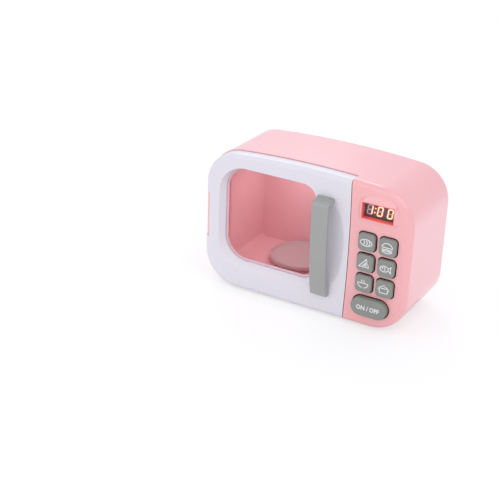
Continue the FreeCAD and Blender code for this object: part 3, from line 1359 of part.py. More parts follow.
def drive_gears():
    pinion_x, first_x, second_x, output_x = gear_x()
    low, middle, high = gear_levels()
    to_left, to_right = math.pi, 0.0
    pinion = gear_blank(pinion_x, PINION_TEETH, to_left, high)
    pinion = pinion.cut(rod_z(pinion_x, TURNTABLE_Y, MOTOR_SHAFT_RADIUS, 0, BODY_HEIGHT))
    first = compound_gear(first_x, FIRST_TEETH, gap_angle(to_right, FIRST_TEETH), high, to_left, middle)
    second = compound_gear(second_x, SECOND_TEETH, gap_angle(to_right, SECOND_TEETH), middle, to_left, low)
    disc = gear_blank(output_x, OUTPUT_TEETH, gap_angle(to_right, OUTPUT_TEETH), low)
    spindle = rod_z(output_x, TURNTABLE_Y, SPINDLE_RADIUS, low, CAVITY_FLOOR + PLATE_LIFT)
    hub = rod_z(output_x, TURNTABLE_Y, 2 * SPINDLE_RADIUS, low, middle + GEAR_FACE)
    output = fused(disc, spindle, hub).cut(rod_z(output_x, TURNTABLE_Y, AXLE_RADIUS + RUN_FIT, 0, high))
    return {"motor_pinion": pinion, "first_gear": first, "second_gear": second, "output_gear": output}


def gear_axles():
    _, first_x, second_x, output_x = gear_x()
    low, _, high = gear_levels()
    base = low - LOOSE_FIT - GEARBOX_PLATE
    top = GEARBOX_HIGH + GEARBOX_PLATE
    axles = [rod_z(x, TURNTABLE_Y, AXLE_RADIUS, base, top) for x in (first_x, second_x)]
    axles.append(rod_z(output_x, TURNTABLE_Y, AXLE_RADIUS, base, high - LOOSE_FIT))
    return axles


def gearbox_plate(z):
    x0, x1, y0, y1 = gearbox_plan()
    plate = block(x0, x1, y0, y1, z, z + GEARBOX_PLATE)
    upright = [edge for edge in plate.Edges if edge.BoundBox.ZLength > GEARBOX_PLATE / 2]
    return plate.makeFillet(BOSS_RADIUS, upright)


def gearbox_base():
    z = WALL + GEARBOX_BOSS
    top = GEARBOX_HIGH
    posts = [rod_z(x, y, GEARBOX_POST_RADIUS, z, top) for x, y in gearbox_post_places()]
    cuts = [rod_z(x, y, SCREW_HOLE, z, z + GEARBOX_PLATE) for x, y in gearbox_boss_places()]
    cuts += [rod_z(x, y, SCREW_HOLE, top - GEARBOX_SCREW, top) for x, y in gearbox_post_places()]
    cuts += [axle_hole(x) for x in gear_x()[1:]]
    return fused(gearbox_plate(z), *posts).cut(cuts)


def axle_hole(x):
    return rod_z(x, TURNTABLE_Y, AXLE_RADIUS + RUN_FIT / 2, 0, CAVITY_FLOOR)


def gearbox_cover():
    pinion_x, first_x, second_x, output_x = gear_x()
    z = GEARBOX_HIGH
    top = z + GEARBOX_PLATE
    collar = motor_can(MOTOR_COLLAR + RUN_FIT, top, top + MOTOR_COLLAR_HEIGHT)
    collar = collar.cut(motor_can(RUN_FIT, top, top + MOTOR_COLLAR_HEIGHT))
    cuts = [rod_z(x, y, SCREW_HOLE, z, top) for x, y in gearbox_post_places()]
    cuts += [rod_z(x, y, HEAD_HOLE, z, top) for x, y in gearbox_boss_places()]
    cuts += [axle_hole(first_x), axle_hole(second_x)]
    cuts.append(rod_z(output_x, TURNTABLE_Y, SPINDLE_RADIUS + RUN_FIT, z, top))
    cuts.append(rod_z(pinion_x, TURNTABLE_Y, MOTOR_NOSE_RADIUS + RUN_FIT, z, top))
    return fused(gearbox_plate(z), collar).cut(cuts)


def gearbox_base_screws():
    seat = WALL + GEARBOX_BOSS + GEARBOX_PLATE
    return [screw(V(x, y, seat), V(0, 0, -1), GEARBOX_SCREW) for x, y in gearbox_boss_places()]


def gearbox_cover_screws():
    seat = GEARBOX_HIGH + GEARBOX_PLATE
    return [screw(V(x, y, seat), V(0, 0, -1), GEARBOX_SCREW) for x, y in gearbox_post_places()]


def motor_can(grow, z0, z1):
    """Round can with two flat sides."""
    x = gear_x()[0]
    half = MOTOR_FLAT / 2 + grow
    radius = MOTOR_RADIUS + grow
    can = rod_z(x, TURNTABLE_Y, radius, z0, z1)
    return can.common(block(x - radius, x + radius, TURNTABLE_Y - half, TURNTABLE_Y + half, z0, z1))


def motor_base():
    return GEARBOX_HIGH + GEARBOX_PLATE


def drive_motor():
    x = gear_x()[0]
    base = motor_base()
    top = base + MOTOR_LENGTH
    nose = rod_z(x, TURNTABLE_Y, MOTOR_NOSE_RADIUS, base - GEARBOX_PLATE / 2, base)
    cap = rod_z(x, TURNTABLE_Y, MOTOR_NOSE_RADIUS, top, top + MOTOR_TERMINAL)
    tabs = [block(x + side - MOTOR_TERMINAL, x + side + MOTOR_TERMINAL, TURNTABLE_Y - MOTOR_TERMINAL / 4,
                  TURNTABLE_Y + MOTOR_TERMINAL / 4, top, top + MOTOR_TAB)
            for side in (-MOTOR_TERMINAL_OFFSET, MOTOR_TERMINAL_OFFSET)]
    bore = rod_z(x, TURNTABLE_Y, MOTOR_SHAFT_RADIUS + RUN_FIT, 0, top - MOTOR_TERMINAL)
    return fused(motor_can(0, base, top), nose, cap, *tabs).cut(bore)


def motor_shaft():
    return rod_z(gear_x()[0], TURNTABLE_Y, MOTOR_SHAFT_RADIUS, gear_levels()[2],
                 motor_base() + MOTOR_LENGTH - MOTOR_TERMINAL - LOOSE_FIT)


def turntable_coupler():
    """Drive disc on the spindle, with a six-sided key that fits the plate."""
    base = CAVITY_FLOOR + LOOSE_FIT
    disc = rod_z(TURNTABLE_X, TURNTABLE_Y, COUPLER_RADIUS, base, base + COUPLER_THICKNESS)
    key = coupler_key(0, base + COUPLER_THICKNESS, base + COUPLER_THICKNESS + COUPLER_KEY_HEIGHT)
    return fused(disc, key).cut(rod_z(TURNTABLE_X, TURNTABLE_Y, SPINDLE_RADIUS, 0, CAVITY_FLOOR + PLATE_LIFT))


def coupler_key(grow, z0, z1):
    radius = COUPLER_KEY_RADIUS + grow
    corners = []
    for index in range(7):
        angle = index * math.pi / 3
        corners.append(V(TURNTABLE_X + radius * math.cos(angle), TURNTABLE_Y + radius * math.sin(angle), z0))
    return Part.Face(Part.makePolygon(corners)).extrude(V(0, 0, z1 - z0))


def turntable_plate():
    """Round plate with a raised rim and shallow rings, and a six-sided socket underneath."""
    base = CAVITY_FLOOR + LOOSE_FIT + COUPLER_THICKNESS
    floor = base + COUPLER_KEY_HEIGHT + RUN_FIT
    top = floor + PLATE_THICKNESS
    plate = rod_z(TURNTABLE_X, TURNTABLE_Y, PLATE_RADIUS, floor, top + PLATE_RIM)
    dish = Part.makeCone(PLATE_RADIUS - PLATE_RIM_WIDTH, PLATE_RADIUS - PLATE_RIM_WIDTH / 2, PLATE_RIM,
                         V(TURNTABLE_X, TURNTABLE_Y, top))
    hub = rod_z(TURNTABLE_X, TURNTABLE_Y, COUPLER_RADIUS, base, floor)
    socket = coupler_key(RUN_FIT, base, floor)
    lip = [edge for edge in plate.Edges if edge.BoundBox.ZLength < TOUCH]
    plate = plate.makeFillet(PLATE_RIM_WIDTH / 4, lip)
    return fused(plate, hub).cut([dish, socket])


# Leads

def paired(points, spread):
    """Two leads side by side, spread apart along the given unit vector."""
    step = spread * (LEAD_SPACING / 2)
    return [lead([p + step for p in points]), lead([p - step for p in points])]


def board_back():
    return BOARD_FRONT + BOARD_THICKNESS


def motor_leads():
    x = gear_x()[0]
    start = motor_base() + MOTOR_LENGTH + MOTOR_TAB
    high = start + LEAD_RISE
    leads = []
    for side in (-MOTOR_TERMINAL_OFFSET, MOTOR_TERMINAL_OFFSET):
        tab = V(x + side, TURNTABLE_Y, start)
        bend = V(x + side, TURNTABLE_Y, high)
        board_end = V(x + side + SEAM_BOW, board_back(), high)
        clear_of_wall = board_end + V(0, LEAD_STRAIGHT, 0)
        leads.append(lead([tab, bend, clear_of_wall, board_end]))
    return leads


def battery_leads():
    _, x1, y0, _, z0, z1 = battery_box_bounds()
    height = (z0 + z1) / 2
    x = x1 - CELL_PITCH
    route = [V(x, y0 - BATTERY_WALL, height), V(x, board_back(), height)]
    return paired(route, V(1, 0, 0))


def speaker_leads():
    back = COVER_FACE - SPEAKER_DEPTH
    route = [V(SPEAKER_X, back, SPEAKER_HEIGHT), V(SPEAKER_X, board_back(), SPEAKER_HEIGHT)]
    return paired(route, V(1, 0, 0))


# The finished pieces

def grouped(shapes):
    return Part.makeCompound(shapes)


def all_pieces():
    lit, unlit = led_segments()
    basket, cone = speaker_parts()
    pieces = {
        "main_housing": main_housing(),
        "rear_cover": rear_cover(),
        "rear_cover_screws": grouped(rear_cover_screws()),
        "cavity_liner": cavity_liner(),
        "liner_screws": grouped(liner_screws()),
        "door_frame": door_frame(),
        "door_inner_panel": door_inner_panel(),
        "door_screws": grouped(door_screws()),
        "window_pane": window_pane(),
        "door_handle": door_handle(),
        "handle_screws": grouped(handle_screws()),
        "start_stop_key": start_stop_key(),
        "key_switches": grouped(key_switches()),
        "control_board": control_board(),
        "control_board_screws": grouped(board_screws()),
        "display_frame": display_frame(),
        "led_display": led_display(),
        "led_segments_lit": lit,
        "led_segments_unlit": unlit,
        "battery_box": battery_box(),
        "battery_cells": grouped(battery_cells()),
        "battery_contacts": grouped(battery_contacts()),
        "battery_door": battery_door(),
        "battery_door_screw": battery_door_screw(),
        "speaker": basket,
        "speaker_cone": cone,
        "power_switch_body": power_switch_body(),
        "power_switch_knob": power_switch_knob(),
        "gearbox_base": gearbox_base(),
        "gearbox_base_screws": grouped(gearbox_base_screws()),
        "gearbox_cover": gearbox_cover(),
        "gearbox_cover_screws": grouped(gearbox_cover_screws()),
        "gear_axles": grouped(gear_axles()),
        "drive_motor": drive_motor(),
        "motor_shaft": motor_shaft(),
        "turntable_coupler": turntable_coupler(),
        "turntable_plate": turntable_plate(),
        "motor_leads": grouped(motor_leads()),
        "battery_leads": grouped(battery_leads()),
        "speaker_leads": grouped(speaker_leads()),
    }
    pieces.update(feet())
    pieces.update(hinge_pins())
    pieces.update(square_keys())
    pieces.update(drive_gears())
    return pieces


os.makedirs("parts", exist_ok=True)
for node, shape in all_pieces().items():
    placed = shape.copy()
    placed.translate(ORIGIN_SHIFT)
    placed.exportStep(os.path.join("parts", node + ".step"))
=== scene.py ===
import logging
import math
from dataclasses import dataclass
from enum import Enum
from typing import Any, Dict, List, Optional, Sequence, Tuple, Union

import bpy
import numpy as np
from mathutils import Matrix, Vector


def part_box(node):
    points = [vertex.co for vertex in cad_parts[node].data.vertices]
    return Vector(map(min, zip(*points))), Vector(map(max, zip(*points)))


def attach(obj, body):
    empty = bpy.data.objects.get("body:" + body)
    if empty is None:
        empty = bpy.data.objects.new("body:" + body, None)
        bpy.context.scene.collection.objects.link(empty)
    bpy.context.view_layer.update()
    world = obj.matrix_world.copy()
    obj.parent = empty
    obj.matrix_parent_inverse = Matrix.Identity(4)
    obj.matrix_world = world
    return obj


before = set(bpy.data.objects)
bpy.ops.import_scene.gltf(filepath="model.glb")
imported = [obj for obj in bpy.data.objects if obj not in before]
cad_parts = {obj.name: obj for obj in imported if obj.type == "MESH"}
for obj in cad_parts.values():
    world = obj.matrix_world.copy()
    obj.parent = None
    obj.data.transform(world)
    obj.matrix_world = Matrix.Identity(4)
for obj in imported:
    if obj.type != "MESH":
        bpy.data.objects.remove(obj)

# Looks of a toy microwave oven: finishes of its moulded pieces, printed key symbols and a small studio.
# Lengths are metres in the part's own frame unless a name ends in _mm.

LOG = logging.getLogger("toy_microwave")
MM = 0.001
FULL_TURN = 360.0
SHARPEST_MITRE = 0.4
MERGE_DECIMALS = 6

Colour = Tuple[float, float, float]
Faces = List[Sequence[int]]
Number = Union[float, "Flow"]


def scaled(colour: Colour, share: float) -> Colour:
    """A colour with each part times share, at most 1."""
    return tuple(min(1.0, part * share) for part in colour)


def from_display(red: int, green: int, blue: int) -> Colour:
    """Turn a colour as a screen shows it, 0 to 255, into a shader's linear colour by the sRGB curve.

    Args:
        red: Red as shown.
        green: Green as shown.
        blue: Blue as shown.

    Returns:
        The linear colour, each part from 0 to 1.
    """
    shown = np.array((red, green, blue)) / 255.0
    linear = np.where(shown <= 0.04045, shown / 12.92, ((shown + 0.055) / 1.055) ** 2.4)
    return tuple(float(part) for part in linear)


class Flow:
    """One value flowing through a node tree, with arithmetic that adds Math nodes."""

    def __init__(self, nodes: "Nodes", socket: bpy.types.NodeSocket) -> None:
        """Keep the tree that owns the node and the socket that gives the value."""
        self.nodes = nodes
        self.socket = socket

    def _math(self, operation: str, first: Number, second: Number) -> "Flow":
        """Add one Math node for the two values."""
        return self.nodes.node("ShaderNodeMath", {"operation": operation}, {0: first, 1: second})

    def __add__(self, other: Number) -> "Flow":
        """self + other"""
        return self._math("ADD", self, other)

    def __radd__(self, other: Number) -> "Flow":
        """other + self"""
        return self._math("ADD", other, self)

    def __sub__(self, other: Number) -> "Flow":
        """self - other"""
        return self._math("SUBTRACT", self, other)

    def __rsub__(self, other: Number) -> "Flow":
        """other - self"""
        return self._math("SUBTRACT", other, self)

    def __mul__(self, other: Number) -> "Flow":
        """self * other"""
        return self._math("MULTIPLY", self, other)

    def __rmul__(self, other: Number) -> "Flow":
        """other * self"""
        return self._math("MULTIPLY", other, self)

    def __truediv__(self, other: Number) -> "Flow":
        """self / other"""
        return self._math("DIVIDE", self, other)

    def __rtruediv__(self, other: Number) -> "Flow":
        """other / self"""
        return self._math("DIVIDE", other, self)

    def above(self, other: Number) -> "Flow":
        """1 where self is more than other, else 0."""
        return self._math("GREATER_THAN", self, other)

    def most(self, other: Number) -> "Flow":
        """The larger of self and other."""
        return self._math("MAXIMUM", self, other)

    def least(self, other: Number) -> "Flow":
        """The smaller of self and other."""
        return self._math("MINIMUM", self, other)

    def swing(self, size: float) -> "Flow":
        """Noise from 0 to 1 turned into a change from minus half of size to half of size."""
        return (self - 0.5) * size


class Nodes:
    """Adds nodes to one node tree and links them."""

    def __init__(self, tree: bpy.types.NodeTree) -> None:
        """Keep the tree and empty it."""
        self.tree = tree
        self.tree.nodes.clear()

    def plug(self, socket: bpy.types.NodeSocket, value: Any) -> None:
        """Link a flow to a socket, or set the socket's own value.

        Args:
            socket: The input to fill.
            value: A Flow, a number, or a colour or vector.
        """
        if isinstance(value, Flow):
            self.tree.links.new(value.socket, socket)
        elif socket.type == "RGBA":
            socket.default_value = (*value, 1.0)
        else:
            socket.default_value = value

    def node(self, kind: str, settings: Optional[Dict[str, Any]] = None,
             inputs: Optional[Dict[Any, Any]] = None, output: Any = 0) -> Flow:
        """Add a node of any type.

        Args:
            kind: The node's type name.
            settings: Node properties, set first.
            inputs: Values or flows by input name or index.
            output: Name or index of the output to return.

        Returns:
            The chosen output as a Flow.
        """
        node = self.tree.nodes.new(kind)
        for key, value in (settings or {}).items():
            setattr(node, key, value)
        for key, value in (inputs or {}).items():
            self.plug(node.inputs[key], value)
        return Flow(self, node.outputs[output])

    def blend(self, share: Number, first: Any, second: Any) -> Flow:
        """Mix two colours by share, from first at 0 to second at 1."""
        return self.node("ShaderNodeMix", {"data_type": "RGBA"}, {0: share, 6: first, 7: second}, 2)

    def show(self, kind: str, surface: Flow) -> None:
        """Add an output node of that type and put the surface on it."""
        output = self.tree.nodes.new(kind)
        self.plug(output.inputs["Surface"], surface)


class Paint(Nodes):
    """Builds one node material."""

    def __init__(self, name: str) -> None:
        """Start an empty node material.

        Args:
            name: The material's name.
        """
        self.material = bpy.data.materials.new(name)
        self.material.use_nodes = True
        super().__init__(self.material.node_tree)
        self.coordinates: Optional[Flow] = None

    def place(self) -> Flow:
        """Object coordinates, made at the first use.

        Returns:
            The place in metres in the part's frame.
        """
        if self.coordinates is None:
            self.coordinates = self.node("ShaderNodeTexCoord", output="Object")
        return self.coordinates

    def axis(self, index: int) -> Flow:
        """One of the place's three coordinates."""
        return self.node("ShaderNodeSeparateXYZ", None, {0: self.place()}, index)

    def noise(self, size: float, detail: float = 2.0) -> Flow:
        """Noise from 0 to 1 whose lumps are about size metres across."""
        inputs = {"Vector": self.place(), "Scale": 1.0 / size, "Detail": detail}
        return self.node("ShaderNodeTexNoise", None, inputs, "Fac")

    def bump(self, height: Flow, depth: float) -> Flow:
        """A surface normal from a height that runs from 0 to 1 over depth metres."""
        inputs = {"Strength": 1.0, "Distance": depth, "Height": height}
        return self.node("ShaderNodeBump", None, inputs)

    def principled(self, **inputs: Any) -> Flow:
        """Add a Principled surface; underscores in a name stand for spaces."""
        named = {key.replace("_", " "): value for key, value in inputs.items()}
        return self.node("ShaderNodeBsdfPrincipled", None, named)

    def finish(self, surface: Flow) -> bpy.types.Material:
        """Put the surface on the material's output.

        Args:
            surface: The shader to show.

        Returns:
            The finished material.
        """
        self.show("ShaderNodeOutputMaterial", surface)
        return self.material


# Finishes

@dataclass(frozen=True)
class MouldedPlastic:
    """Moulded plastic: fine spark-erosion grain, slight flow mottling, satin or gloss."""

    name: str
    colour: Colour
    roughness: float = 0.35
    grain_size: float = 0.6 * MM
    grain_depth: float = 0.01 * MM
    grain_roughness: float = 0.08
    mottle: float = 0.03
    mottle_size: float = 45 * MM
    mottle_detail: float = 3.0
    mottle_roughness: float = 0.06
    coat: float = 0.0
    coat_roughness: float = 0.2
    shine: float = 0.5

    def tone(self, paint: Paint, cloud: Flow) -> Flow:
        """The colour with its mottling.

        Args:
            paint: The material being built.
            cloud: Slow noise from 0 to 1.

        Returns:
            The colour over the surface.
        """
        dark = scaled(self.colour, 1.0 - self.mottle)
        light = scaled(self.colour, 1.0 + self.mottle)
        return paint.blend(cloud, dark, light)

    def material(self) -> bpy.types.Material:
        """Build the finish.

        Returns:
            The finish as a node material.
        """
        paint = Paint(self.name)
        cloud = paint.noise(self.mottle_size, self.mottle_detail)
        colour = self.tone(paint, cloud)
        grain = paint.noise(self.grain_size, detail=1.0)
        rough = self.roughness + grain.swing(self.grain_roughness) + cloud.swing(self.mottle_roughness)
        normal = paint.bump(grain, self.grain_depth)
        surface = paint.principled(
            Base_Color=colour, Roughness=rough, Normal=normal, Specular_IOR_Level=self.shine,
            Coat_Weight=self.coat, Coat_Roughness=self.coat_roughness)
        return paint.finish(surface)


@dataclass(frozen=True)
class ShadedSkirtPlastic(MouldedPlastic):
    """Moulded plastic of a key, with painted shade where it lies behind the panel's face."""

    skirt_shade: Colour = (0.0, 0.0, 0.0)

    def tone(self, paint: Paint, cloud: Flow) -> Flow:
        """The colour in front of the panel's face, and painted shade behind it.

        Args:
            paint: The material being built.
            cloud: Slow noise from 0 to 1.

        Returns:
            The colour over the surface.
        """
        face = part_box("door_frame")[0].y
        # painted shade: behind the panel's face the key turns dark maroon, for the shade in the gap
        # round it
        behind = paint.axis(1).above(face)
        return paint.blend(behind, super().tone(paint, cloud), self.skirt_shade)


@dataclass(frozen=True)
class TintedPane:
    """Clear tinted plastic with a faint ripple and a painted highlight on the bevel round its raised
    middle.
    """

    name: str
    colour: Colour
    bevel_highlight_colour: Colour
    opacity: float = 0.4
    bevel_highlight_opacity: float = 0.6
    bevel_depth: float = 0.5 * MM
    back_margin: float = 0.1 * MM
    roughness: float = 0.08
    ripple_size: float = 30 * MM
    ripple_depth: float = 0.01 * MM
    ripple_shade: float = 0.97
    ripple_opacity: float = 0.04
    ripple_roughness: float = 0.03

    def material(self) -> bpy.types.Material:
        """Build the finish.

        Returns:
            The finish as a node material.
        """
        paint = Paint(self.name)
        ripple = paint.noise(self.ripple_size, detail=1.0)
        bevel = self.bevel(paint)
        tint = paint.blend(ripple, scaled(self.colour, self.ripple_shade), self.colour)
        # painted highlight: the bevel is paler and less clear, for the light it catches
        colour = paint.blend(bevel, tint, self.bevel_highlight_colour)
        highlight_cover = bevel * (self.bevel_highlight_opacity - self.opacity)
        alpha = self.opacity + highlight_cover + ripple.swing(self.ripple_opacity)
        rough = self.roughness + ripple.swing(self.ripple_roughness)
        normal = paint.bump(ripple, self.ripple_depth)
        surface = paint.principled(Base_Color=colour, Alpha=alpha, Roughness=rough, Normal=normal)
        return paint.finish(surface)

    def bevel(self, paint: Paint) -> Flow:
        """Where the bevel is: 0 on the raised middle and on the back, up to 1 at the bevel's foot.

        Args:
            paint: The material being built.

        Returns:
            The share of the painted highlight on the bevel.
        """
        low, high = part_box("window_pane")
        depth = paint.axis(1)
        not_back = 1.0 - depth.above(high.y - self.back_margin)
        return ((depth - low.y) / self.bevel_depth).most(0.0).least(1.0) * not_back


@dataclass(frozen=True)
class BareMetal:
    """Plated or drawn metal with fine streaks along Z."""

    name: str
    colour: Colour
    roughness: float = 0.3
    streak_scale: float = 3000.0
    streak_detail: float = 2.0
    streak_stretch: float = 0.06
    streak_depth: float = 0.008 * MM
    streak_shade: float = 0.88
    streak_roughness: float = 0.2

    def material(self) -> bpy.types.Material:
        """Build the finish.

        Returns:
            The finish as a node material.
        """
        paint = Paint(self.name)
        stretch = {"Vector": paint.place(), "Scale": (1.0, 1.0, self.streak_stretch)}
        stretched = paint.node("ShaderNodeMapping", None, stretch)
        fine = {"Vector": stretched, "Scale": self.streak_scale, "Detail": self.streak_detail}
        streak = paint.node("ShaderNodeTexNoise", None, fine, "Fac")
        colour = paint.blend(streak, scaled(self.colour, self.streak_shade), self.colour)
        rough = self.roughness + streak.swing(self.streak_roughness)
        normal = paint.bump(streak, self.streak_depth)
        surface = paint.principled(Base_Color=colour, Roughness=rough, Metallic=1.0, Normal=normal)
        return paint.finish(surface)


@dataclass(frozen=True)
class GlowingSegment:
    """A lit LED segment or the glow round it, at the brightness of its own colour."""

    name: str
    core: Colour
    strength: float = 1.0
    roughness: float = 0.4
    grain_size: float = 0.7 * MM
    grain_shade: float = 0.92

    def material(self) -> bpy.types.Material:
        """Build the finish.

        Returns:
            The finish as a node material.
        """
        paint = Paint(self.name)
        grain = paint.noise(self.grain_size, detail=1.0)
        glow = paint.blend(grain, scaled(self.core, self.grain_shade), self.core)
        surface = paint.principled(
            Base_Color=self.core, Roughness=self.roughness, Emission_Color=glow,
            Emission_Strength=self.strength)
        return paint.finish(surface)


@dataclass(frozen=True)
class CircuitBoard:
    """Green solder mask over faint copper tracks."""

    name: str
    mask: Colour
    track: Colour
    track_scale: float = 110.0
    track_width: float = 0.04
    track_share: float = 0.6
    track_depth: float = 0.03 * MM
    cloud_size: float = 20 * MM
    cloud_shade: float = 1.2
    roughness: float = 0.3
    track_roughness: float = 0.1

    def material(self) -> bpy.types.Material:
        """Build the finish.

        Returns:
            The finish as a node material.
        """
        paint = Paint(self.name)
        turn = {"Vector": paint.place(), "Rotation": (math.pi / 2, 0.0, 0.0)}
        upright = paint.node("ShaderNodeMapping", None, turn)
        bricks = {"Vector": upright, "Scale": self.track_scale, "Mortar Size": self.track_width}
        grid = paint.node("ShaderNodeTexBrick", {"offset": 0.5}, bricks, "Fac")
        cloud = paint.noise(self.cloud_size)
        ground = paint.blend(cloud, self.mask, scaled(self.mask, self.cloud_shade))
        colour = paint.blend(grid * self.track_share, ground, self.track)
        rough = self.roughness + grid * self.track_roughness
        normal = paint.bump(grid, self.track_depth)
        return paint.finish(paint.principled(Base_Color=colour, Roughness=rough, Normal=normal))


PINK = MouldedPlastic("pink_plastic", from_display(235, 164, 165), 0.34, mottle=0.015, coat=1.0,
                      shine=1.0)
WHITE = MouldedPlastic("white_plastic", from_display(218, 214, 220), 0.34, mottle=0.01, coat=0.2)
GREY = MouldedPlastic("grey_plastic", from_display(141, 142, 137), 0.3, mottle=0.02, coat=1.0,
                      shine=1.0)
# Keys: grey caps, with painted shade, dark maroon, where they lie behind the panel's face.
KEY = ShadedSkirtPlastic("key_plastic", from_display(138, 140, 133), 0.42, mottle=0.02, shine=0.2,
                     skirt_shade=from_display(66, 16, 20))
CAVITY = MouldedPlastic("cavity_plastic", from_display(226, 184, 188), 0.45, mottle=0.02)
RED = MouldedPlastic("red_plastic", from_display(248, 116, 108), 0.3)
BLACK = MouldedPlastic("black_plastic", from_display(38, 36, 38), 0.45, mottle=0.08)
SMOKED = MouldedPlastic("smoked_face", from_display(84, 72, 78), 0.3, mottle=0.06)
UNLIT = MouldedPlastic("unlit_segment", from_display(196, 194, 194), 0.4)
RUBBER = MouldedPlastic("rubber", from_display(52, 52, 54), 0.7, grain_size=0.9 * MM,
                        grain_depth=0.04 * MM, mottle=0.1)
NYLON = MouldedPlastic("gear_nylon", from_display(236, 232, 218), 0.45)
TURNTABLE = MouldedPlastic("turntable_plastic", from_display(168, 176, 176), 0.4)
JACKET = MouldedPlastic("cell_jacket", from_display(70, 92, 128), 0.3)
PAPER = MouldedPlastic("speaker_paper", from_display(64, 60, 58), 0.85, grain_size=1.2 * MM,
                       grain_depth=0.06 * MM)
INSULATION = MouldedPlastic("lead_jacket", from_display(170, 34, 34), 0.4)
PRINT = MouldedPlastic("white_print", from_display(226, 226, 226), 0.5, mottle=0.01)
# The window's second colour is the painted highlight on its bevel.
WINDOW = TintedPane("tinted_window", from_display(218, 98, 104), from_display(236, 205, 212), 0.2)
STEEL = BareMetal("steel", from_display(196, 198, 202))
BRASS = BareMetal("brass", from_display(222, 190, 120), 0.25)
LIT = GlowingSegment("lit_segment", from_display(255, 224, 176), 0.9)
HALO = GlowingSegment("segment_halo", from_display(208, 44, 36), 0.9)
BOARD = CircuitBoard("circuit_board", from_display(30, 92, 52), from_display(92, 140, 84))


class Wardrobe:
    """Makes each finish once and dresses CAD nodes and new pieces in it."""

    def __init__(self) -> None:
        """Start with no material made."""
        self.made: Dict[str, bpy.types.Material] = {}

    def material(self, finish: Any) -> bpy.types.Material:
        """The material of a finish, made at its first use.

        Args:
            finish: The finish to show.

        Returns:
            Its material.
        """
        if finish.name not in self.made:
            self.made[finish.name] = finish.material()
        return self.made[finish.name]

    def dress(self, finish: Any, *nodes: str) -> None:
        """Put a finish on CAD nodes.

        Args:
            finish: The finish to show.
            nodes: Names of CAD nodes.
        """
        for name in nodes:
            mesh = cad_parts[name].data
            mesh.materials.clear()
            mesh.materials.append(self.material(finish))
            LOG.info("%s wears %s", name, finish.name)


# Mesh helpers

def new_piece(name: str, points: np.ndarray, faces: Faces, material: bpy.types.Material,
              body: str) -> None:
    """Make a mesh piece that rides on a body.

    Args:
        name: The piece's name.
        points: Vertices, one row each, in metres in the part's frame.
        faces: Vertex indices of each face.
        material: What it shows.
        body: The CAD body that carries it.
    """
    mesh = bpy.data.meshes.new(name)
    mesh.from_pydata(points.tolist(), [], [list(face) for face in faces])
    mesh.validate()
    mesh.materials.append(material)
    piece = bpy.data.objects.new(name, mesh)
    bpy.context.scene.collection.objects.link(piece)
    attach(piece, body)
    LOG.info("%s rides on %s", name, body)


def mesh_points(mesh: bpy.types.Mesh) -> np.ndarray:
    """Read a mesh's vertices.

    Args:
        mesh: The mesh.

    Returns:
        The vertices, one row each.
    """
    points = np.zeros(len(mesh.vertices) * 3, np.float32)
    mesh.vertices.foreach_get("co", points)
    return points.reshape(-1, 3)


@dataclass
class Stroke:
    """One printed line of a symbol, in shares of the symbol's half width."""

    points: np.ndarray
    closed: bool = False


def oval(centre: Tuple[float, float], half: Tuple[float, float], start: float = 0.0,
         stop: float = FULL_TURN, count: int = 40) -> Stroke:
    """Part of an ellipse: centre plus half sizes times the cosine and sine of an even run of angles.

    Args:
        centre: Middle of the ellipse.
        half: Half width and half height.
        start: First angle in degrees.
        stop: Last angle in degrees.
        count: Number of points.

    Returns:
        The stroke; it is closed where it makes a full turn.
    """
    closed = abs(stop - start) >= FULL_TURN
    angles = np.radians(np.linspace(start, stop, count, endpoint=not closed))
    circle = np.stack((np.cos(angles), np.sin(angles)), axis=1)
    return Stroke(np.array(centre) + circle * half, closed)


def line(*points: Tuple[float, float], closed: bool = False) -> Stroke:
    """Straight runs through the points."""
    return Stroke(np.array(points, float), closed)


def unit(rows: np.ndarray) -> np.ndarray:
    """Each row at length 1."""
    return rows / np.linalg.norm(rows, axis=1, keepdims=True)


def ribbon_sides(stroke: Stroke, width: float) -> np.ndarray:
    """Steps from a stroke's points to its left edge: half the width along the mitred normal.

    Args:
        stroke: The line to follow.
        width: Full width of the ribbon.

    Returns:
        One step for each point.
    """
    path = stroke.points
    if stroke.closed:
        before = np.roll(path, 1, axis=0)
        after = np.roll(path, -1, axis=0)
    else:
        before = np.vstack((2 * path[:1] - path[1:2], path[:-1]))
        after = np.vstack((path[1:], 2 * path[-1:] - path[-2:-1]))
    out = unit(after - path)
    mean = unit(unit(path - before) + out)
    normal = np.stack((-mean[:, 1], mean[:, 0]), axis=1)
    mitre = 1.0 / np.maximum(SHARPEST_MITRE, np.sum(mean * out, axis=1, keepdims=True))
    return normal * mitre * width / 2


def ribbon_faces(count: int, closed: bool) -> Faces:
    """Faces between four-point profiles that follow each other, with end faces on an open ribbon.

    Args:
        count: Number of profiles.
        closed: Whether the last profile joins the first.

    Returns:
        Vertex indices of each face.
    """
    rows = np.arange(count if closed else count - 1)
    here = 4 * rows
    there = 4 * ((rows + 1) % count)
    faces: Faces = []
    for edge in range(4):
        following = (edge + 1) % 4
        quads = (here + edge, there + edge, there + following, here + following)
        faces += np.stack(quads, axis=1).tolist()
    if not closed:
        last = 4 * (count - 1)
        faces += [(0, 1, 2, 3), (last + 3, last + 2, last + 1, last)]
    return faces


def stroke_mesh(stroke: Stroke, width: float) -> Tuple[np.ndarray, Faces]:
    """Flat-topped ribbon: a four-point profile carried along the stroke at mitred normals.

    Args:
        stroke: The line to follow.
        width: Full width of the ribbon.

    Returns:
        Points as (across, along, height share) rows, and faces.
    """
    path = stroke.points
    side = ribbon_sides(stroke, width)
    flat = np.stack((path - side, path - side, path + side, path + side), axis=1)
    height = np.broadcast_to(np.array((0.0, 1.0, 1.0, 0.0)), flat.shape[:2])
    points = np.concatenate((flat, height[:, :, None]), axis=2).reshape(-1, 3)
    return points, ribbon_faces(len(path), stroke.closed)


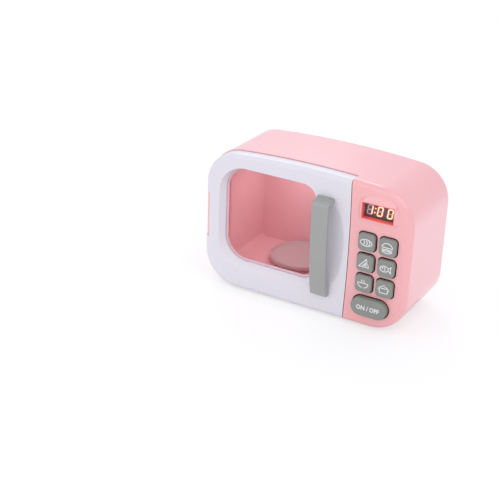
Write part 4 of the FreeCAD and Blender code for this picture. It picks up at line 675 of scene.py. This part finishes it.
def joined(pieces: Sequence[Tuple[np.ndarray, Faces]]) -> Tuple[np.ndarray, Faces]:
    """Several sets of points and faces as one set.

    Args:
        pieces: Points and faces of each.

    Returns:
        All points, and all faces with their indices moved up.
    """
    faces: Faces = []
    count = 0
    for points, own_faces in pieces:
        faces += [[index + count for index in face] for face in own_faces]
        count += len(points)
    return np.vstack([points for points, _ in pieces]), faces


class Symbol(Enum):
    """Plain cooking symbols, drawn with strokes in a square from -1 to 1."""

    BREAD = "bread"
    BUN = "bun"
    SLICE = "slice"
    FISH = "fish"
    BOWL = "bowl"
    POT = "pot"

    def strokes(self) -> List[Stroke]:
        """Draw the symbol.

        Returns:
            Its lines.
        """
        if self is Symbol.BREAD:
            return [oval((0, 0), (1.0, 0.55)), oval((-0.75, 0), (0.5, 0.42), -52, 52, 12),
                    oval((-0.3, 0), (0.5, 0.5), -55, 55, 12), oval((0.15, 0), (0.5, 0.42), -52, 52, 12)]
        if self is Symbol.BUN:
            return [oval((0, 0.05), (0.9, 0.75), 0, 180, 24), line((-0.9, 0.05), (0.9, 0.05)),
                    line((-0.9, -0.2), (-0.45, -0.35), (0, -0.2), (0.45, -0.35), (0.9, -0.2)),
                    oval((0, -0.5), (0.85, 0.35), 180, 360, 18), line((-0.85, -0.5), (0.85, -0.5))]
        if self is Symbol.SLICE:
            return [line((-0.95, -0.6), (0.75, -0.6), (0.3, 0.8), closed=True),
                    line((-0.45, -0.6), (0.42, 0.42)),
                    oval((0.15, -0.25), (0.14, 0.14), count=14), oval((0.42, 0.1), (0.1, 0.1), count=12)]
        if self is Symbol.FISH:
            return [oval((-0.2, 0), (0.7, 0.48)),
                    line((0.45, 0.18), (0.95, 0.5), (0.85, 0), (0.95, -0.5), (0.45, -0.18)),
                    oval((-0.5, 0.12), (0.07, 0.07), count=10),
                    oval((-0.35, 0), (0.3, 0.34), -60, 60, 12)]
        if self is Symbol.BOWL:
            return [line((-0.95, 0.15), (0.95, 0.15)), oval((0, 0.15), (0.9, 0.8), 180, 360, 24),
                    line((-0.35, -0.68), (0.35, -0.68)), oval((-0.35, 0.5), (0.12, 0.22), -80, 80, 8),
                    oval((0.1, 0.5), (0.12, 0.22), -80, 80, 8)]
        return [line((-0.75, 0.2), (-0.65, -0.6), (0.65, -0.6), (0.75, 0.2)),
                line((-0.95, 0.2), (0.95, 0.2)),
                oval((0, 0.2), (0.7, 0.35), 0, 180, 20), oval((0, 0.66), (0.12, 0.12), count=12),
                line((-0.75, -0.05), (-1.0, -0.05)), line((0.75, -0.05), (1.0, -0.05))]


@dataclass
class KeyPrint:
    """White print on the keys: a symbol on each square key and plain words on the long one."""

    half_width: float = 6.8 * MM
    line_width: float = 0.9 * MM
    relief: float = 0.12 * MM
    word_width: float = 27.0 * MM
    word_height: float = 5.4 * MM
    font_depth: float = 0.5
    font_steps: int = 3
    font_thicker: float = 0.025

    def symbols(self) -> Dict[str, Symbol]:
        """Which symbol goes on which key."""
        return {
            "key_top_left": Symbol.BREAD,
            "key_top_right": Symbol.BUN,
            "key_middle_left": Symbol.SLICE,
            "key_middle_right": Symbol.FISH,
            "key_lower_left": Symbol.BOWL,
            "key_lower_right": Symbol.POT,
        }

    def on_face(self, node: str, flat: np.ndarray) -> np.ndarray:
        """Lay flat points on a key's front face.

        Args:
            node: The key.
            flat: Rows of across, up and height, in metres.

        Returns:
            The points in the part's frame: height runs out of the face, towards -Y.
        """
        low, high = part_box(node)
        middle = (low + high) / 2
        across, up, height = flat.T
        return np.stack((middle.x + across, low.y - height, middle.z + up), axis=1)

    def put(self, node: str, flat: np.ndarray, faces: Faces, wardrobe: Wardrobe) -> None:
        """Add one key's print as a piece that rides on the key."""
        placed = self.on_face(node, flat)
        new_piece(node + "_print", placed, faces, wardrobe.material(PRINT), node)

    def build_symbol(self, node: str, symbol: Symbol, wardrobe: Wardrobe) -> None:
        """Print one symbol on one key.

        Args:
            node: The key.
            symbol: What to print.
            wardrobe: Where the print's material comes from.
        """
        width = self.line_width / self.half_width
        points, faces = joined([stroke_mesh(stroke, width) for stroke in symbol.strokes()])
        self.put(node, points * (self.half_width, self.half_width, self.relief), faces, wardrobe)

    def word_mesh(self, words: str) -> Tuple[np.ndarray, Faces]:
        """Words as a mesh, in the font's own size.

        Args:
            words: The words.

        Returns:
            Points and faces.
        """
        curve = bpy.data.curves.new("words", "FONT")
        curve.body = words
        curve.extrude = self.font_depth
        curve.resolution_u = self.font_steps
        curve.offset = self.font_thicker
        holder = bpy.data.objects.new("words", curve)
        bpy.context.scene.collection.objects.link(holder)
        bpy.context.view_layer.update()
        shaped = holder.evaluated_get(bpy.context.evaluated_depsgraph_get())
        mesh = bpy.data.meshes.new_from_object(shaped)
        points = mesh_points(mesh)
        faces = [list(polygon.vertices) for polygon in mesh.polygons]
        bpy.data.objects.remove(holder)
        bpy.data.curves.remove(curve)
        bpy.data.meshes.remove(mesh)
        return points, faces

    def build_words(self, node: str, words: str, wardrobe: Wardrobe) -> None:
        """Print plain words on the long key.

        Args:
            node: The key.
            words: The words.
            wardrobe: Where the print's material comes from.
        """
        flat, faces = self.word_mesh(words)
        outline = flat[:, :2]
        outline -= (outline.min(axis=0) + outline.max(axis=0)) / 2
        outline *= (self.word_width, self.word_height) / np.ptp(outline, axis=0)
        flat[:, 2] = (flat[:, 2] > 0) * self.relief
        self.put(node, flat, faces, wardrobe)

    def build(self, wardrobe: Wardrobe) -> None:
        """Print every key.

        Args:
            wardrobe: Where the print's material comes from.
        """
        for node, symbol in self.symbols().items():
            self.build_symbol(node, symbol, wardrobe)
        self.build_words("start_stop_key", "ON / OFF", wardrobe)


@dataclass
class SegmentGlow:
    """Red glow round the lit segments: each segment's outline drawn out on the display's face."""

    spread: float = 0.6 * MM
    relief: float = 0.06 * MM
    directions: int = 40

    @staticmethod
    def islands(mesh: bpy.types.Mesh) -> List[np.ndarray]:
        """The points of each separate solid in a mesh of loose triangles.

        Points at one place count as one. Each starts with its own label, and the smaller label goes
        along every edge until none changes.

        Args:
            mesh: A mesh of several solids.

        Returns:
            One array of points for each solid.
        """
        ends = np.zeros(len(mesh.edges) * 2, np.int32)
        mesh.edges.foreach_get("vertices", ends)
        points, owner = np.unique(mesh_points(mesh).round(MERGE_DECIMALS), axis=0, return_inverse=True)
        ends = owner.reshape(-1)[ends].reshape(-1, 2)
        label = np.arange(len(points))
        before = np.zeros(0)
        while not np.array_equal(label, before):
            before = label.copy()
            smaller = label[ends].min(axis=1)
            np.minimum.at(label, ends[:, 0], smaller)
            np.minimum.at(label, ends[:, 1], smaller)
        return [points[label == index] for index in np.unique(label)]

    def outline(self, points: np.ndarray) -> np.ndarray:
        """Rounded outline round one segment: its farthest corner in each direction, plus the spread.

        Args:
            points: The segment's points.

        Returns:
            Rows of x and z, in the order of the directions.
        """
        flat = points[:, (0, 2)]
        angles = np.linspace(0.0, 2.0 * np.pi, self.directions, endpoint=False)
        ways = np.stack((np.cos(angles), np.sin(angles)), axis=1)
        farthest = flat[(flat @ ways.T).argmax(axis=0)]
        return farthest + self.spread * ways

    def build(self, wardrobe: Wardrobe) -> None:
        """Lay the glow on the display's face.

        Args:
            wardrobe: Where the glow's material comes from.
        """
        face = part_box("led_display")[0].y
        sheets: List[Tuple[np.ndarray, Faces]] = []
        for points in self.islands(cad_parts["led_segments_lit"].data):
            across, up = self.outline(points).T
            depth = np.full(self.directions, face - self.relief)
            sheets.append((np.stack((across, depth, up), axis=1), [range(self.directions)]))
        points, faces = joined(sheets)
        new_piece("segment_glow", points, faces, wardrobe.material(HALO), "housing")


@dataclass
class Oven:
    """The whole toy: which finish each CAD node wears."""

    def build(self, wardrobe: Wardrobe) -> None:
        """Dress every node.

        Args:
            wardrobe: Where the finishes come from.
        """
        keys = [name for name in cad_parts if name.startswith("key_") and name != "key_switches"]
        feet = [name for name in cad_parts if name.startswith("foot_")]
        screws = [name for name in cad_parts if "screw" in name]
        wardrobe.dress(PINK, "main_housing", "rear_cover", "battery_door")
        wardrobe.dress(WHITE, "door_frame", "door_inner_panel")
        wardrobe.dress(GREY, "door_handle")
        wardrobe.dress(KEY, "start_stop_key", *keys)
        wardrobe.dress(WINDOW, "window_pane")
        wardrobe.dress(CAVITY, "cavity_liner")
        wardrobe.dress(RED, "display_frame")
        wardrobe.dress(LIT, "led_segments_lit")
        wardrobe.dress(UNLIT, "led_segments_unlit")
        wardrobe.dress(BOARD, "control_board")
        wardrobe.dress(SMOKED, "led_display")
        wardrobe.dress(BLACK, "key_switches", "battery_box", "speaker", "power_switch_body",
                       "power_switch_knob", "gearbox_base", "gearbox_cover")
        wardrobe.dress(JACKET, "battery_cells")
        wardrobe.dress(PAPER, "speaker_cone")
        wardrobe.dress(STEEL, "battery_contacts", "gear_axles", "drive_motor", "motor_shaft",
                       "hinge_pin_lower", "hinge_pin_upper", *screws)
        wardrobe.dress(BRASS, "motor_pinion")
        wardrobe.dress(NYLON, "first_gear", "second_gear", "output_gear", "turntable_coupler")
        wardrobe.dress(TURNTABLE, "turntable_plate")
        wardrobe.dress(INSULATION, "motor_leads", "battery_leads", "speaker_leads")
        wardrobe.dress(RUBBER, *feet)


@dataclass(frozen=True)
class Lamp:
    """A square area lamp aimed at the toy."""

    name: str
    place: Tuple[float, float, float]
    size: float
    power: float
    colour: Colour

    def build(self, target: Vector) -> None:
        """Hang the lamp and aim it.

        Args:
            target: The point that it shines at.
        """
        data = bpy.data.lights.new(self.name, "AREA")
        data.size = self.size
        data.energy = self.power
        data.color = self.colour
        lamp = bpy.data.objects.new(self.name, data)
        aim = target - Vector(self.place)
        turn = aim.to_track_quat("-Z", "Y").to_matrix().to_4x4()
        lamp.matrix_world = Matrix.Translation(self.place) @ turn
        bpy.context.scene.collection.objects.link(lamp)


LAMPS = (
    Lamp("right_lamp", (1.3, -0.7, 2.2), 2.0, 12.0, (0.97, 0.97, 1.0)),
    Lamp("front_lamp", (-0.6, -2.0, 1.0), 2.0, 5.9, (1.0, 0.96, 0.87)),
    Lamp("back_lamp", (-0.77, 0.95, 1.2), 0.8, 4.0, (0.94, 0.97, 1.0)),
)


@dataclass
class Studio:
    """Pale floor, soft lamps, white surround and the camera of the photograph."""

    azimuth: float = 29.83
    elevation: float = 25.24
    roll: float = 2.03
    eye: Tuple[float, float, float] = (0.5395, -1.1012, 0.6290)
    focal_px: float = 1189.0
    frame_px: float = 500.0
    sensor_mm: float = 36.0
    nearest: float = 0.01
    aim_height: float = 0.08
    floor_half: float = 1.3
    floor_glow: float = 0.6
    floor_shades: Tuple[float, float] = (0.96, 0.98)
    floor_cloud: float = 0.4
    floor_roughness: float = 0.8
    surround: float = 0.97
    sky: Colour = (0.91, 0.93, 1.0)
    white: Colour = (1.0, 1.0, 1.0)
    inside_power: float = 0.06
    inside_share: float = 0.5
    inside_drop: float = 8 * MM

    def camera(self) -> None:
        """Place the camera: its axes follow from azimuth, elevation and roll."""
        turn, lift, tilt = np.radians((self.azimuth, self.elevation, self.roll)).tolist()
        level = math.cos(lift)
        back = Vector((math.sin(turn) * level, -math.cos(turn) * level, math.sin(lift)))
        right = Vector((0, 0, 1)).cross(back).normalized()
        up = back.cross(right)
        across = math.cos(tilt) * right + math.sin(tilt) * up
        rising = math.cos(tilt) * up - math.sin(tilt) * right
        data = bpy.data.cameras.new("photo_camera")
        data.sensor_width = self.sensor_mm
        data.lens = self.sensor_mm * self.focal_px / self.frame_px
        data.clip_start = self.nearest
        camera = bpy.data.objects.new("photo_camera", data)
        pose = Matrix((across, rising, back)).transposed().to_4x4()
        pose.translation = Vector(self.eye)
        camera.matrix_world = pose
        bpy.context.scene.collection.objects.link(camera)
        bpy.context.scene.camera = camera

    def inside_lamp(self) -> None:
        """A small lamp under the cavity's ceiling, so that the inside shows at about its own colour."""
        low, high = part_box("cavity_liner")
        middle = (low + high) / 2
        data = bpy.data.lights.new("inside_lamp", "AREA")
        data.shape = "RECTANGLE"
        data.size = self.inside_share * (high.x - low.x)
        data.size_y = self.inside_share * (high.y - low.y)
        data.energy = self.inside_power
        lamp = bpy.data.objects.new("inside_lamp", data)
        lamp.location = (middle.x, middle.y, high.z - self.inside_drop)
        bpy.context.scene.collection.objects.link(lamp)

    def world(self) -> None:
        """A pale surround: white to the camera, faintly blue to the toy, brightest in mirrors."""
        world = bpy.data.worlds.new("surround")
        bpy.context.scene.world = world
        world.use_nodes = True
        nodes = Nodes(world.node_tree)
        camera = nodes.node("ShaderNodeLightPath", output="Is Camera Ray")
        mirror = nodes.node("ShaderNodeLightPath", output="Is Glossy Ray")
        strength = self.surround + camera.most(mirror) * (1.0 - self.surround)
        shade = nodes.blend(camera, self.sky, self.white)
        inputs = {"Color": shade, "Strength": strength}
        nodes.show("ShaderNodeOutputWorld", nodes.node("ShaderNodeBackground", None, inputs))

    def floor(self) -> None:
        """A large pale floor that keeps the toy's shadow; a camera sees part of it as plain white."""
        paint = Paint("floor")
        dark, light = (scaled(self.white, shade) for shade in self.floor_shades)
        colour = paint.blend(paint.noise(self.floor_cloud), dark, light)
        matt = paint.principled(Base_Color=colour, Roughness=self.floor_roughness)
        white = paint.node("ShaderNodeEmission", None, {"Color": self.white, "Strength": 1.0})
        seen = paint.node("ShaderNodeLightPath", output="Is Camera Ray") * self.floor_glow
        material = paint.finish(paint.node("ShaderNodeMixShader", None, {0: seen, 1: matt, 2: white}))
        half = self.floor_half
        mesh = bpy.data.meshes.new("floor")
        corners = [(-half, -half, 0), (half, -half, 0), (half, half, 0), (-half, half, 0)]
        mesh.from_pydata(corners, [], [(0, 1, 2, 3)])
        mesh.materials.append(material)
        floor = bpy.data.objects.new("floor", mesh)
        bpy.context.scene.collection.objects.link(floor)

    def build(self) -> None:
        """Set up camera, lamps, surround and floor."""
        bpy.context.scene.view_settings.view_transform = "Standard"
        self.camera()
        self.world()
        for lamp in LAMPS:
            lamp.build(Vector((0.0, 0.0, self.aim_height)))
        self.inside_lamp()
        self.floor()


def main() -> None:
    """Dress the toy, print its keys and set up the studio."""
    logging.basicConfig(level=logging.INFO, format="%(name)s: %(message)s")
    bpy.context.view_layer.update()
    wardrobe = Wardrobe()
    Oven().build(wardrobe)
    KeyPrint().build(wardrobe)
    SegmentGlow().build(wardrobe)
    Studio().build()


if __name__ == "__main__":
    main()
